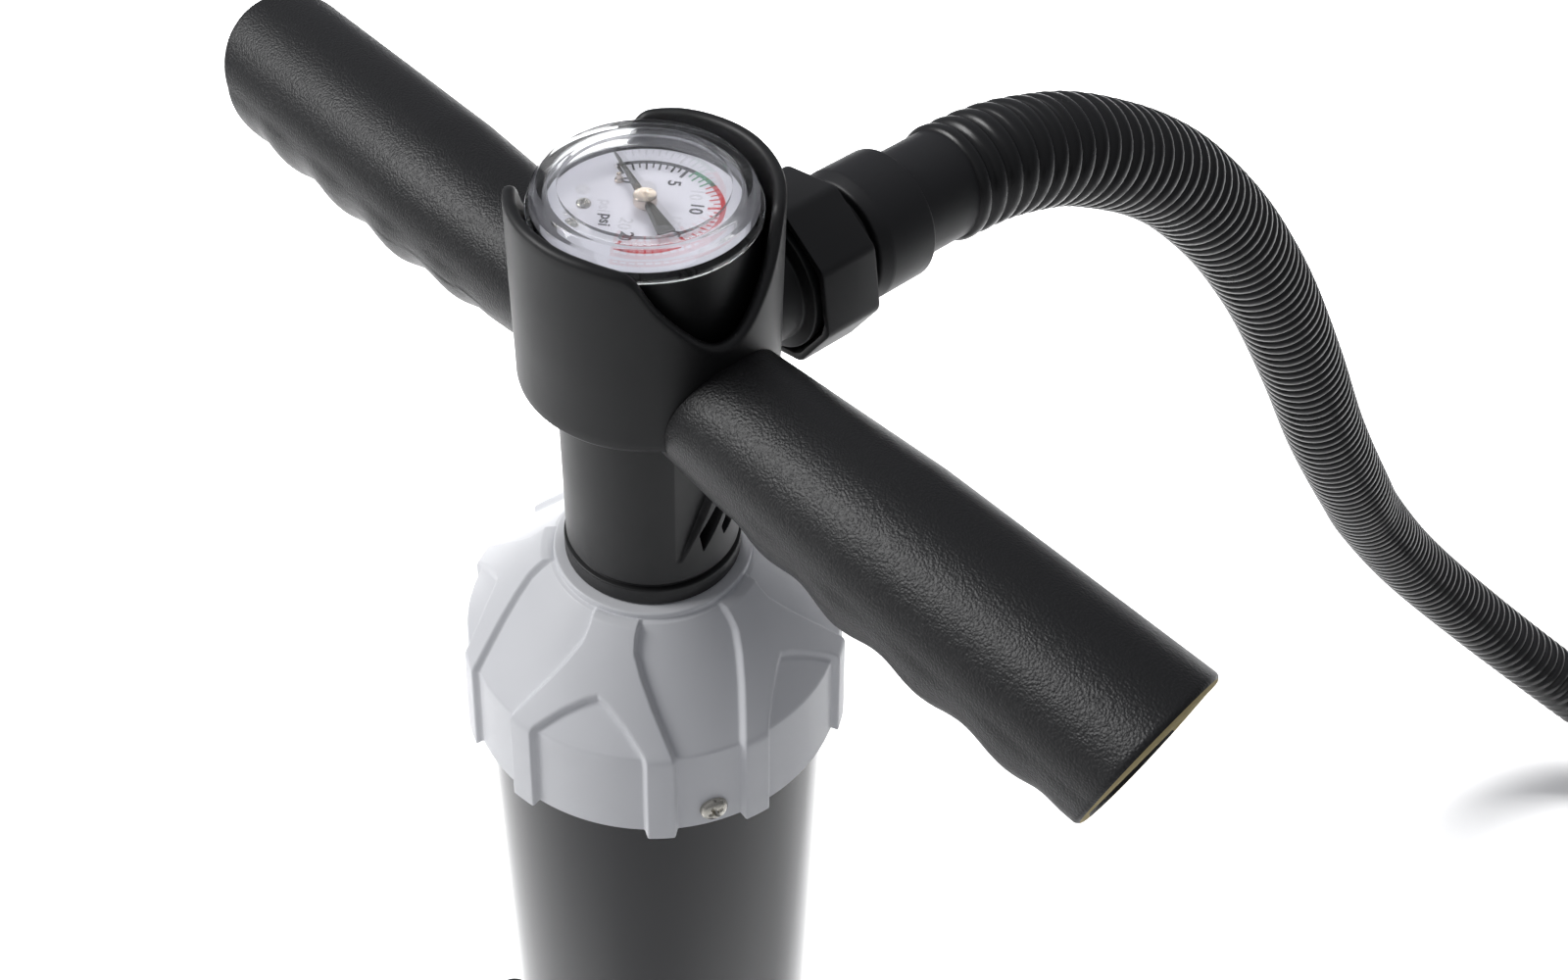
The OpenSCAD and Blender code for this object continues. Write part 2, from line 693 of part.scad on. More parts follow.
module hose_connector() {
    tail_y = thread_end + 1.5;
    color(dark) difference() {
        union() {
            along_y(tail_y, tail_t, thread_r - 0.4);
            along_y(tail_y, collar_y - tail_y + 1, neck_tube_r);
            translate([0, collar_y, outlet_z]) rotate([-90, 0, 0]) rotate_extrude()
                polygon([[outlet_bore, 0], [collar_r - 1.2, 0], [collar_r, 1.6],
                    [collar_r, collar_len - 0.6], [collar_r - 0.6, collar_len],
                    [outlet_bore, collar_len]]);
            along_y(collar_y + collar_len - eps, tube_len + eps, tube_r);
        }
        along_y(tail_y - 1, 100, outlet_bore + 1);
    }
}

module hose_arch() {
    last = unit(floor_route[1] - arch_route[len(arch_route) - 2]);
    color(rubber) tube_along(arch_route, hose_r, [0, 1, 0], last, [1, 0, 0]);
}

module hose_floor_run() {
    first = unit(floor_route[1] - arch_route[len(arch_route) - 2]);
    start = [floor_route[0] + route_gap * first];
    rest = [for (i = [1 : len(floor_route) - 1]) floor_route[i]];
    color(rubber) tube_along(concat(start, rest), hose_r, first, [0, -1, 0], [0, 0, 1]);
}

// A cylinder along -Y from the hose's end
module nozzle_bar(from, len, r, sides = 96) {
    translate([cuff_x, cuff_y - from, cuff_z]) rotate([90, 0, 0]) cylinder(h = len, r = r, $fn = sides);
}

module hose_cuff() {
    color(dark) difference() {
        nozzle_bar(0, cuff_len, cuff_r);
        nozzle_bar(6, cuff_len, ring_z);
        nozzle_bar(-1, 10, nozzle_bore + 2);
    }
}

module valve_nozzle() {
    color(black) difference() {
        union() {
            nozzle_bar(7, cuff_len - 7 + 10, ring_z);
            nozzle_bar(cuff_len + 10 - eps, nozzle_len - 10, nozzle_r);
        }
        nozzle_bar(6, 100, nozzle_bore);
        translate([cuff_x, seal_y, cuff_z]) rotate([90, 0, 0])
            rotate_extrude() translate([nozzle_r, 0]) circle(r = 1);
    }
}

module bayonet_ring() {
    color(dark) difference() {
        union() {
            nozzle_bar(cuff_len + 0.2, 9, lock_r);
            for (a = [0, 90, 180, 270])
                translate([cuff_x, cuff_y - cuff_len - 0.2, cuff_z]) rotate([90, 0, 0])
                rotate([0, 0, a]) translate([0, -3, 0]) cube([lock_r + 1.8, 6, 9]);
        }
        nozzle_bar(cuff_len - 1, 20, ring_z);
    }
}

module nozzle_seal() {
    color("#8a2f2a") translate([cuff_x, seal_y, cuff_z]) rotate([90, 0, 0])
        rotate_extrude() translate([nozzle_r, 0]) circle(r = 0.98);
}

base_pad();
base_plate();
base_seal();
base_screws();
barrel();
top_cap();
cap_screws();
cap_seal();
guide_bush();
rod_wiper();
hinge_pin(-1);  // hinge_pin_left
hinge_pin(1);  // hinge_pin_right
foot_plate(-1);  // foot_plate_left
foot_plate(1);  // foot_plate_right
foot_tread(-1);  // foot_tread_left
foot_tread(1);  // foot_tread_right
foot_pad(-1);  // foot_pad_left
foot_pad(1);  // foot_pad_right
piston_rod();
piston();
piston_seal();
piston_guide_ring();
rod_nut();
valve_seat();
check_valve_disc();
bumper_ring();
stem_sleeve();
head_shroud();
handle_core();
grip(-1);  // grip_left
grip(1);  // grip_right
gauge_case();
gauge_stem();
bourdon_tube();
gauge_movement();
dial_plate();
dial_screws();
zero_pin();
gauge_lens();
pointer();
pointer_hub();
outlet_spigot();
outlet_gasket();
union_nut();
hose_connector();
hose_arch();
hose_floor_run();
hose_cuff();
valve_nozzle();
bayonet_ring();
nozzle_seal();
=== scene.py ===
import json
import math

import bmesh
import bpy
import numpy as np
from mathutils import Matrix, Vector


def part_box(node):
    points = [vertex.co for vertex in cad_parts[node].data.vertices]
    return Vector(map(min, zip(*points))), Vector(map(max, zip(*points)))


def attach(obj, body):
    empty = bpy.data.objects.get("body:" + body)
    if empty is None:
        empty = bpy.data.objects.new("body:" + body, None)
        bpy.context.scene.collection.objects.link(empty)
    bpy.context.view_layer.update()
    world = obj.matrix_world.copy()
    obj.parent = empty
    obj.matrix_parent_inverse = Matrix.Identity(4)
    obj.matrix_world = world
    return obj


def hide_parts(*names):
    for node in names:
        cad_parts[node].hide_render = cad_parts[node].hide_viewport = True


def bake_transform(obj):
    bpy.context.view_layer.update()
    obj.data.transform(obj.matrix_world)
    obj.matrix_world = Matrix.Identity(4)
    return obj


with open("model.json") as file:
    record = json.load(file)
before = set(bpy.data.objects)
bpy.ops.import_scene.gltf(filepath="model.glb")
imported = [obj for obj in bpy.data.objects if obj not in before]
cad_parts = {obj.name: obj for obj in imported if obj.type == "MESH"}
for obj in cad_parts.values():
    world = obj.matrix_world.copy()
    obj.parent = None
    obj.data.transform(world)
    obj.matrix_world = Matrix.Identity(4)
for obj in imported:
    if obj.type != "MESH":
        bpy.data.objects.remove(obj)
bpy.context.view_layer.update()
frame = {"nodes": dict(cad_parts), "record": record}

nodes = frame["nodes"]
mm = 0.001
print("stage: frame loaded,", len(nodes), "CAD nodes")


def lowOf(node):
    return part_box(node)[0] / mm


def highOf(node):
    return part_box(node)[1] / mm


# Heights and radii that every piece shares, in millimetres, read from the frame
neckZ = highOf("top_cap").z
headZ = lowOf("head_shroud").z
headR = highOf("head_shroud").x
stemR = highOf("stem_sleeve").x
dialZ = highOf("dial_plate").z
dialR = highOf("dial_plate").x
caseR = highOf("gauge_case").x
lensR = highOf("gauge_lens").x
lensTopZ = highOf("gauge_lens").z
barrelR = highOf("barrel").x
barrelTopZ = highOf("barrel").z
axisZ = headZ + 4.7          # the handle's axis sits just above the shroud's foot
outletZ = (highOf("hose_connector").z + lowOf("hose_connector").z) / 2


# Camera
camera = {
    "azimuth": 46.13,      # degrees round the pump, 0 looks along +Y
    "elevation": 45.21,
    "distance": 499.42,    # mm from the point looked at
    "sideways": 33.60,     # mm that point lies right of the axis
    "height": 76.999,      # mm that point lies above the cap's rim
    "roll": -2.497,
    "focal": 45.12,        # mm on a 36 mm sensor
}
capHeight = 56.5
rimZ = neckZ - capHeight


def addCamera(spec):
    az, el, roll = (math.radians(spec[k]) for k in ("azimuth", "elevation", "roll"))
    back = Vector((math.sin(az) * math.cos(el), -math.cos(az) * math.cos(el), math.sin(el)))
    right = Vector((math.cos(az), math.sin(az), 0))
    down = (-back).cross(right)
    tiltedRight = math.cos(roll) * right + math.sin(roll) * down
    tiltedDown = -math.sin(roll) * right + math.cos(roll) * down
    target = right * spec["sideways"] + Vector((0, 0, rimZ + spec["height"]))
    data = bpy.data.cameras.new("studioCamera")
    data.lens = spec["focal"]
    data.sensor_width = 36
    data.clip_start = 0.01
    obj = bpy.data.objects.new("studioCamera", data)
    turn = Matrix((tiltedRight, -tiltedDown, back)).transposed()
    obj.matrix_world = Matrix.Translation((target + back * spec["distance"]) * mm) @ turn.to_4x4()
    bpy.context.scene.collection.objects.link(obj)
    bpy.context.scene.camera = obj


addCamera(camera)
print("stage: camera")


# Materials
def linear(hexColour):
    parts = [int(hexColour[i:i + 2], 16) / 255 for i in (1, 3, 5)]
    return tuple(c / 12.92 if c <= 0.04045 else ((c + 0.055) / 1.055) ** 2.4 for c in parts) + (1.0,)


def addNode(tree, kind, values=None, links=None):
    node = tree.nodes.new(kind)
    for key, value in (values or {}).items():
        if isinstance(key, int) or key in node.inputs:
            node.inputs[key].default_value = value
        else:
            setattr(node, key, value)
    for key, source in (links or {}).items():
        tree.links.new(source, node.inputs[key])
    return node


def newMaterial(name, values):
    mat = bpy.data.materials.new(name)
    mat.use_nodes = True
    tree = mat.node_tree
    tree.nodes.clear()
    shader = addNode(tree, "ShaderNodeBsdfPrincipled", values)
    addNode(tree, "ShaderNodeOutputMaterial", None, {"Surface": shader.outputs[0]})
    place = addNode(tree, "ShaderNodeTexCoord").outputs["Object"]
    return mat, tree, shader, place


# The everyday finish of a moulded, turned or drawn part: two close tones in soft clouds, a
# roughness that wanders a little, and a fine grain whose size is given in millimetres
def grainedMaterial(name, spec):
    values = {"Metallic": spec.get("metallic", 0.0), "IOR": spec.get("ior", 1.5)}
    values.update(spec.get("extra", {}))
    mat, tree, shader, place = newMaterial(name, values)
    if spec.get("stretch"):
        place = addNode(tree, "ShaderNodeMapping", {"Scale": spec["stretch"]}, {"Vector": place}).outputs[0]
    cloud = addNode(tree, "ShaderNodeTexNoise", {"Scale": 1000 / spec["cloudMm"], "Detail": 4.0},
                    {"Vector": place})
    tone = addNode(tree, "ShaderNodeMix", {"data_type": "RGBA"}, {"Factor": cloud.outputs["Fac"]})
    tone.inputs[6].default_value = linear(spec["tones"][0])
    tone.inputs[7].default_value = linear(spec["tones"][1])
    tree.links.new(tone.outputs[2], shader.inputs["Base Color"])
    smoothest, roughest = spec["roughness"]
    rough = addNode(tree, "ShaderNodeMapRange", {"To Min": smoothest, "To Max": roughest,
                    "From Min": 0.3, "From Max": 0.7}, {"Value": cloud.outputs["Fac"]})
    tree.links.new(rough.outputs[0], shader.inputs["Roughness"])
    grain = addNode(tree, "ShaderNodeTexNoise", {"Scale": 1000 / spec["grainMm"], "Detail": 3.0,
                    "Roughness": 0.6}, {"Vector": place})
    bump = addNode(tree, "ShaderNodeBump", {"Strength": spec["grainStrength"],
                   "Distance": spec["grainDepthMm"] * mm}, {"Height": grain.outputs["Fac"]})
    tree.links.new(bump.outputs[0], shader.inputs["Normal"])
    return mat


# Moulded ABS with a spark-eroded satin skin: soft wide highlights, no clear reflection
satinAbs = grainedMaterial("mouldedSatinAbs", {
    "tones": ["#0b0b0c", "#101011"], "roughness": [0.44, 0.52], "ior": 1.53,
    "cloudMm": 40, "grainMm": 0.5, "grainDepthMm": 0.03, "grainStrength": 0.5})
# The same ABS in a lighter charcoal, from a coarser mould
charcoalAbs = grainedMaterial("mouldedCharcoalAbs", {
    "tones": ["#101012", "#141416"], "roughness": [0.44, 0.52], "ior": 1.53,
    "cloudMm": 30, "grainMm": 0.6, "grainDepthMm": 0.04, "grainStrength": 0.5})
# Grey ABS, moulded satin: pale broad sheen on the crown of each rib
greyAbs = grainedMaterial("mouldedGreyAbs", {
    "tones": ["#d6d7da", "#dedfe2"], "roughness": [0.38, 0.46], "ior": 1.53,
    "cloudMm": 25, "grainMm": 0.5, "grainDepthMm": 0.02, "grainStrength": 0.35})
# Extruded and polished tube: glossy, with long vertical reflections that waver very slightly
polishedTube = grainedMaterial("polishedExtrudedTube", {
    "tones": ["#101014", "#141418"], "roughness": [0.07, 0.11], "ior": 1.49, "cloudMm": 60, "grainMm": 8,
    "grainDepthMm": 0.02, "grainStrength": 0.2})
# Blow-moulded polyethylene hose: black, waxy satin
hosePlastic = grainedMaterial("blowMouldedPolyethylene", {
    "tones": ["#0b0b0c", "#101011"], "roughness": [0.26, 0.34], "ior": 1.51,
    "cloudMm": 30, "grainMm": 1.2, "grainDepthMm": 0.03, "grainStrength": 0.4})
# Moulded nitrile rubber: darker and duller than the plastics round it
sealRubber = grainedMaterial("mouldedNitrileRubber", {
    "tones": ["#0b0b0c", "#0f0f10"], "roughness": [0.4, 0.5], "ior": 1.52,
    "cloudMm": 15, "grainMm": 0.8, "grainDepthMm": 0.04, "grainStrength": 0.5})
# Turned natural nylon: milky, faintly waxy
turnedNylon = grainedMaterial("turnedNaturalNylon", {
    "tones": ["#dcd8cc", "#e6e3d8"], "roughness": [0.4, 0.5], "ior": 1.53,
    "cloudMm": 12, "grainMm": 0.6, "grainDepthMm": 0.02, "grainStrength": 0.3})
# Drawn and anodised aluminium: fine lines along the rod
drawnAluminium = grainedMaterial("drawnAnodisedAluminium", {
    "tones": ["#b4b7bb", "#c2c5c8"], "roughness": [0.24, 0.34], "metallic": 1.0,
    "cloudMm": 6, "grainMm": 0.5, "grainDepthMm": 0.01, "grainStrength": 0.4, "stretch": (1, 1, 0.02)})
# Zinc-plated steel: bright but slightly cloudy
zincSteel = grainedMaterial("zincPlatedSteel", {
    "tones": ["#b9b5ab", "#d2cfc6"], "roughness": [0.2, 0.34], "metallic": 1.0,
    "cloudMm": 2, "grainMm": 0.3, "grainDepthMm": 0.01, "grainStrength": 0.4})
# Nickel-plated brass, turned: warm, nearly mirror-like
turnedNickel = grainedMaterial("nickelPlatedBrass", {
    "tones": ["#cfc2b4", "#dccfc2"], "roughness": [0.14, 0.24], "metallic": 1.0,
    "cloudMm": 1.5, "grainMm": 0.25, "grainDepthMm": 0.004, "grainStrength": 0.4})
# Turned brass of the gauge's inside
turnedBrass = grainedMaterial("turnedBrass", {
    "tones": ["#b08d45", "#c19e55"], "roughness": [0.25, 0.35], "metallic": 1.0,
    "cloudMm": 3, "grainMm": 0.3, "grainDepthMm": 0.01, "grainStrength": 0.3})
# White baked enamel of the dial: cool, smooth, faintly uneven
dialEnamel = grainedMaterial("bakedWhiteEnamel", {
    "tones": ["#e0dfe9", "#e6e5ee"], "roughness": [0.36, 0.44], "ior": 1.52,
    "cloudMm": 9, "grainMm": 0.6, "grainDepthMm": 0.003, "grainStrength": 0.2})
# Screen-printed inks: matt, slightly uneven in cover
blackInk = grainedMaterial("printedBlackInk", {
    "tones": ["#17181a", "#1f2022"], "roughness": [0.5, 0.6], "ior": 1.48,
    "cloudMm": 1, "grainMm": 0.2, "grainDepthMm": 0.003, "grainStrength": 0.2})
greenInk = grainedMaterial("printedGreenInk", {
    "tones": ["#3f8a66", "#4a9770"], "roughness": [0.5, 0.6], "ior": 1.48,
    "cloudMm": 1, "grainMm": 0.2, "grainDepthMm": 0.003, "grainStrength": 0.2})
redInk = grainedMaterial("printedRedInk", {
    "tones": ["#c2343b", "#cc4148"], "roughness": [0.5, 0.6], "ior": 1.48,
    "cloudMm": 1, "grainMm": 0.2, "grainDepthMm": 0.003, "grainStrength": 0.2})
# Stamped and painted pointer: flat dark grey
pointerPaint = grainedMaterial("satinGreyPaint", {
    "tones": ["#4d4d4b", "#575754"], "roughness": [0.4, 0.5], "ior": 1.5,
    "cloudMm": 2, "grainMm": 0.25, "grainDepthMm": 0.004, "grainStrength": 0.3})
# Red silicone seal on the nozzle
siliconeRed = grainedMaterial("mouldedSilicone", {
    "tones": ["#7d2a26", "#8a322d"], "roughness": [0.4, 0.5], "ior": 1.42,
    "cloudMm": 4, "grainMm": 0.6, "grainDepthMm": 0.01, "grainStrength": 0.3})


# Grip sleeve: moulded soft PVC with a leather grain, pebbles about half a millimetre across with
# creases between them, so a broad highlight breaks up into grey sparkle. The creases also carry a painted
# shade
grain = {
    # the first tone is the painted shade in the creases, the second the pebbles' own colour
    "pebbleMm": 0.58, "creaseMm": 0.3, "depthMm": 0.14, "tones": ["#0a0a0b", "#101011"],
    "driftMm": 2.5,        # how far apart the pebbles' rows wander
    "driftBy": 1.2,        # and by how many mm
    "creaseShare": 0.45, "strength": 0.85, "roughness": [0.36, 0.5],
}


def leatherGrain(name, spec):
    mat, tree, shader, place = newMaterial(name, {"IOR": 1.52})
    drift = addNode(tree, "ShaderNodeTexNoise", {"Scale": 1000 / spec["driftMm"], "Detail": 2.0},
                    {"Vector": place})
    by = spec["driftBy"] * mm
    bent = addNode(tree, "ShaderNodeVectorMath", {"operation": "MULTIPLY_ADD", 1: (by, by, by)},
                   {0: drift.outputs["Color"], 2: place})
    pebble = addNode(tree, "ShaderNodeTexVoronoi", {"Scale": 1000 / spec["pebbleMm"],
                     "feature": "SMOOTH_F1", "Smoothness": 0.6}, {"Vector": bent.outputs[0]})
    crease = addNode(tree, "ShaderNodeTexNoise", {"Scale": 1000 / spec["creaseMm"], "Detail": 3.0},
                     {"Vector": bent.outputs[0]})
    height = addNode(tree, "ShaderNodeMath", {"operation": "MULTIPLY_ADD", 1: spec["creaseShare"]},
                     {0: crease.outputs["Fac"], 2: pebble.outputs["Distance"]})
    bump = addNode(tree, "ShaderNodeBump", {"Strength": spec["strength"], "Distance": spec["depthMm"] * mm,
                   "invert": True}, {"Height": height.outputs[0]})
    tree.links.new(bump.outputs[0], shader.inputs["Normal"])
    # The darker tone towards each pebble's edge is painted shade in the creases between the pebbles
    tone = addNode(tree, "ShaderNodeMix", {"data_type": "RGBA"}, {"Factor": pebble.outputs["Distance"]})
    tone.inputs[6].default_value = linear(spec["tones"][1])
    tone.inputs[7].default_value = linear(spec["tones"][0])
    tree.links.new(tone.outputs[2], shader.inputs["Base Color"])
    smoothest, roughest = spec["roughness"]
    rough = addNode(tree, "ShaderNodeMapRange", {"To Min": smoothest, "To Max": roughest},
                    {"Value": crease.outputs["Fac"]})
    tree.links.new(rough.outputs[0], shader.inputs["Roughness"])
    return mat


gripLeather = leatherGrain("leatherGrainedPvc", grain)
# Thin pale straw-coloured line round the edge of the grip's end, matt
paleEndLine = grainedMaterial("paleStrawEndLine", {
    "tones": ["#b9a878", "#cbbb8c"], "roughness": [0.75, 0.9], "ior": 1.45,
    "cloudMm": 3, "grainMm": 0.4, "grainDepthMm": 0.05, "grainStrength": 0.6})


# Clear acrylic, injection moulded and polished: thick edges bend and gather the light
def clearAcrylic(name, alpha, hazeMm=6):
    mat, tree, shader, place = newMaterial(name, {"IOR": 1.49, "Transmission Weight": 1.0, "Alpha": alpha})
    haze = addNode(tree, "ShaderNodeTexNoise", {"Scale": 1000 / hazeMm, "Detail": 2.0}, {"Vector": place})
    rough = addNode(tree, "ShaderNodeMapRange", {"To Min": 0.0, "To Max": 0.02},
                    {"Value": haze.outputs["Fac"]})
    tree.links.new(rough.outputs[0], shader.inputs["Roughness"])
    tint = addNode(tree, "ShaderNodeMix", {"data_type": "RGBA"}, {"Factor": haze.outputs["Fac"]})
    tint.inputs[6].default_value = linear("#f7f9fb")
    tint.inputs[7].default_value = linear("#fdfdfd")
    tree.links.new(tint.outputs[2], shader.inputs["Base Color"])
    return mat


acrylicRim = clearAcrylic("clearMouldedAcrylic", 0.8)
# The lens's flat roof is thin, so the dial reads sharp through it
acrylicRoof = clearAcrylic("clearAcrylicWindow", 0.16)
print("stage: materials")


# Mesh helpers, all in mm
def addMesh(name, points, faces, material, body, replaces=(), sharpDeg=35):
    mesh = bpy.data.meshes.new(name)
    mesh.from_pydata([tuple(float(c) * mm for c in p) for p in points], [], faces)
    mesh.validate()
    work = bmesh.new()
    work.from_mesh(mesh)
    bmesh.ops.remove_doubles(work, verts=work.verts, dist=1e-6)
    bmesh.ops.recalc_face_normals(work, faces=work.faces)
    work.to_mesh(mesh)
    work.free()
    mesh.shade_smooth()
    mesh.set_sharp_from_angle(angle=math.radians(sharpDeg))
    obj = bpy.data.objects.new(name, mesh)
    bpy.context.scene.collection.objects.link(obj)
    mesh.materials.append(material)
    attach(obj, body)
    if replaces:
        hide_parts(*replaces)
    return obj


def gridFaces(rows, columns, closeColumns=True, closeRows=False):
    faces = []
    for i in range(rows if closeRows else rows - 1):
        for k in range(columns if closeColumns else columns - 1):
            a, b = i % rows, (i + 1) % rows
            c, d = k, (k + 1) % columns
            faces.append((a * columns + c, a * columns + d, b * columns + d, b * columns + c))
    return faces


# An outline whose points may carry a third value, the radius of the arc that rounds that corner
def rounded(outline, closed=True, steps=5):
    count, result = len(outline), []
    for i, point in enumerate(outline):
        here = Vector(point[:2])
        radius = point[2] if len(point) > 2 else 0
        if radius <= 0 or (not closed and i in (0, count - 1)):
            result.append(tuple(here))
            continue
        before = (Vector(outline[i - 1][:2]) - here)
        after = (Vector(outline[(i + 1) % count][:2]) - here)
        reach = min(radius / math.tan(before.angle(after) / 2), before.length * 0.48, after.length * 0.48)
        start, end = here + before.normalized() * reach, here + after.normalized() * reach
        for k in range(steps + 1):
            t = k / steps
            result.append(tuple(start * (1 - t) ** 2 + here * 2 * t * (1 - t) + end * t * t))
    return result


def axisPoint(axis, place, radius, along, turn):
    c, s = math.cos(turn) * radius, math.sin(turn) * radius
    local = {"z": (c, s, along), "y": (c, along, s), "-y": (c, -along, s)}[axis]
    return [place[i] + local[i] for i in range(3)]


# A closed outline of (radius, distance along) pairs, turned about an axis
def turned(name, outline, material, body, replaces=(), axis="z", place=(0, 0, 0), steps=128):
    ring = rounded(outline)
    points = [axisPoint(axis, place, max(r, 0.001), a, 2 * math.pi * k / steps)
              for r, a in ring for k in range(steps)]
    return addMesh(name, points, gridFaces(len(ring), steps, True, True), material, body, replaces)


# Hose, a free cord
hose = {
    "diameter": 32.0,
    "pitch": 6.0,          # one ridge and one groove
    "groove": 1.9,         # depth between two ridges
    "sides": 40,
    "arch": [(0, 97, 574.3), (0, 117, 572.5), (0, 134, 568), (0, 150, 562), (0, 170, 551),
             (0, 190, 538), (0, 211, 521), (0, 239, 493), (0, 262, 466), (0, 287, 433),
             (0, 320, 384), (0, 357, 326), (0, 400, 265), (0, 430, 225)],
    "floor": [(8, 475, 169), (32, 525, 111), (72, 568, 62), (124, 596, 30),
              (180, 605, 18), (235, 598, 16.6), (285, 573, 16.6), (322, 532, 16.6), (343, 482, 16.6),
              (350, 428, 16.8), (350, 372, 17.4), (350, 330, 18)],
    "bendTop": 560.0,      # above this height the hose runs by the handle
    "bendFoot": 60.0,      # below this it lies on the floor
}
# One ridge: how far along the pitch, and how deep below the crest
ridge = [(0.0, 1.0), (0.1, 0.93), (0.17, 0.55), (0.25, 0.2), (0.36, 0.04), (0.5, 0.0), (0.64, 0.04),
         (0.75, 0.2), (0.83, 0.55), (0.9, 0.93)]


def smoothRoute(route, stepsPerSpan=40):
    pts = [np.array(p, float) for p in route]
    out = []
    for i in range(len(pts) - 1):
        a, b, c, d = pts[max(i - 1, 0)], pts[i], pts[i + 1], pts[min(i + 2, len(pts) - 1)]
        for k in range(stepsPerSpan):
            t = k / stepsPerSpan
            out.append(0.5 * (2 * b + (c - a) * t + (2 * a - 5 * b + 4 * c - d) * t ** 2
                              + (3 * b - a - 3 * c + d) * t ** 3))
    return np.array(out + [pts[-1]])


def alongRoute(line, distances):
    steps = np.linalg.norm(np.diff(line, axis=0), axis=1)
    total = np.concatenate([[0], np.cumsum(steps)])
    return np.stack([np.interp(distances, total, line[:, i]) for i in range(3)], axis=1), total[-1]


def makeHose(spec):
    line = smoothRoute(spec["arch"] + spec["floor"])
    length = alongRoute(line, [0])[1]
    ridges = round(length / spec["pitch"])
    pitch = length / ridges
    marks = [(n + f) * pitch for n in range(ridges) for f, _ in ridge] + [length]
    depths = [d * spec["groove"] for _ in range(ridges) for _, d in ridge] + [spec["groove"]]
    centres = alongRoute(line, marks)[0]
    ahead = np.gradient(centres, axis=0)
    ahead /= np.linalg.norm(ahead, axis=1)[:, None]
    side = np.array([1.0, 0, 0])
    points = []
    for centre, tangent, depth in zip(centres, ahead, depths):
        side = side - tangent * (side @ tangent)
        side /= np.linalg.norm(side)
        up = np.cross(tangent, side)
        r = spec["diameter"] / 2 - depth
        for k in range(spec["sides"]):
            a = 2 * math.pi * k / spec["sides"]
            points.append(centre + r * (math.cos(a) * side + math.sin(a) * up))
    rows = len(centres)
    faces = gridFaces(rows, spec["sides"])
    faces.append(tuple(range(spec["sides"])))
    faces.append(tuple((rows - 1) * spec["sides"] + k for k in reversed(range(spec["sides"]))))
    tube = addMesh("corrugatedHose", points, faces, hosePlastic, "handle",
                   ("hose_arch", "hose_floor_run"), 60)
    tube.parent = None
    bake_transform(tube)
    return length


hoseLength = makeHose(hose)
print("stage: hose,", round(hoseLength), "mm")


# Carried-over CAD nodes
finishes = {
    "black_plastic": satinAbs, "charcoal_plastic": charcoalAbs, "grey_plastic": greyAbs,
    "barrel_gloss": polishedTube, "grip_rubber": gripLeather, "black_rubber": sealRubber,
    "hose_plastic": hosePlastic, "zinc_steel": zincSteel, "rod_aluminium": drawnAluminium,
    "natural_nylon": turnedNylon, "brass": turnedBrass, "nickel": turnedNickel,
    "dial_enamel": dialEnamel, "pointer_enamel": pointerPaint, "clear_lens": acrylicRim,
}
slotOf = {part["node"]: part["material_slot"] for part in frame["record"]["subparts"]}
# Width in mm of the softened edge on the nodes that keep their own shape
softEdge = {"base_plate": 0.8, "foot_plate_left": 0.8, "foot_plate_right": 0.8, "base_pad": 0.6,
            "foot_tread_left": 0.5, "foot_tread_right": 0.5, "foot_pad_left": 0.6, "foot_pad_right": 0.6,
            "bayonet_ring": 0.5, "hose_cuff": 0.8, "valve_nozzle": 0.5,
            "rod_nut": 0.4, "piston": 0.4, "guide_bush": 0.3, "rod_wiper": 0.3}


def dressNode(name, obj):
    obj.data.materials.clear()
    obj.data.materials.append(siliconeRed if name == "nozzle_seal" else finishes[slotOf[name]])
    obj.data.shade_smooth()
    obj.data.set_sharp_from_angle(angle=math.radians(30))
    if name in softEdge:
        weld = obj.modifiers.new("weld", "WELD")
        weld.merge_threshold = 1e-6
        bevel = obj.modifiers.new("softEdge", "BEVEL")
        bevel.width = softEdge[name] * mm
        bevel.segments = 2
        bevel.limit_method = "ANGLE"
        bevel.angle_limit = math.radians(35)
        bevel.harden_normals = True


for nodeName, nodeObject in nodes.items():
    dressNode(nodeName, nodeObject)
print("stage: CAD nodes dressed")


# Top cap
cap = {
    "height": capHeight, "skirtR": 51.7, "shoulderR": 50.6, "shoulderH": 28.5, "skirtIn": 47.6,
    "coneTopR": 27.2, "coneTopH": 54.2, "neckR": 26.0, "boreR": 16.05, "bushDrop": 40,
    "bushR": 20, "roofThick": 5.5, "skirtDeep": 22,
    "ribs": 5, "ribPhase": -59.6, "ribRise": 1.8, "ribDrop": 1.7, "ribSoft": 0.6,
    # right half of one rib in plan: radius and half-angle, from the neck out to the leg and back
    "ribHalf": [(20, 15), (24, 14.4), (29.5, 12.2), (32, 12.4), (36, 15.6), (41, 19.6), (46, 23.2),
                (50.6, 25.9), (60, 25.9), (60, 17.2), (50.6, 17.2), (45.5, 10.8), (42, 3.6), (41, 0)],
}


# Signed distance of points to a closed outline, positive inside
def insideDistance(points, outline):
    ends = np.roll(outline, -1, axis=0)
    nearest = np.full(len(points), 1e9)
    inside = np.zeros(len(points), bool)
    for a, b in zip(outline, ends):
        edge, rel = b - a, points - a
        t = np.clip(rel @ edge / (edge @ edge), 0, 1)
        nearest = np.minimum(nearest, np.linalg.norm(rel - t[:, None] * edge, axis=1))
        crosses = ((a[1] > points[:, 1]) != (b[1] > points[:, 1]))
        at = a[0] + (points[:, 1] - a[1]) * edge[0] / (edge[1] if abs(edge[1]) > 1e-9 else 1e-9)
        inside ^= crosses & (points[:, 0] < at)
    return np.where(inside, nearest, -nearest)


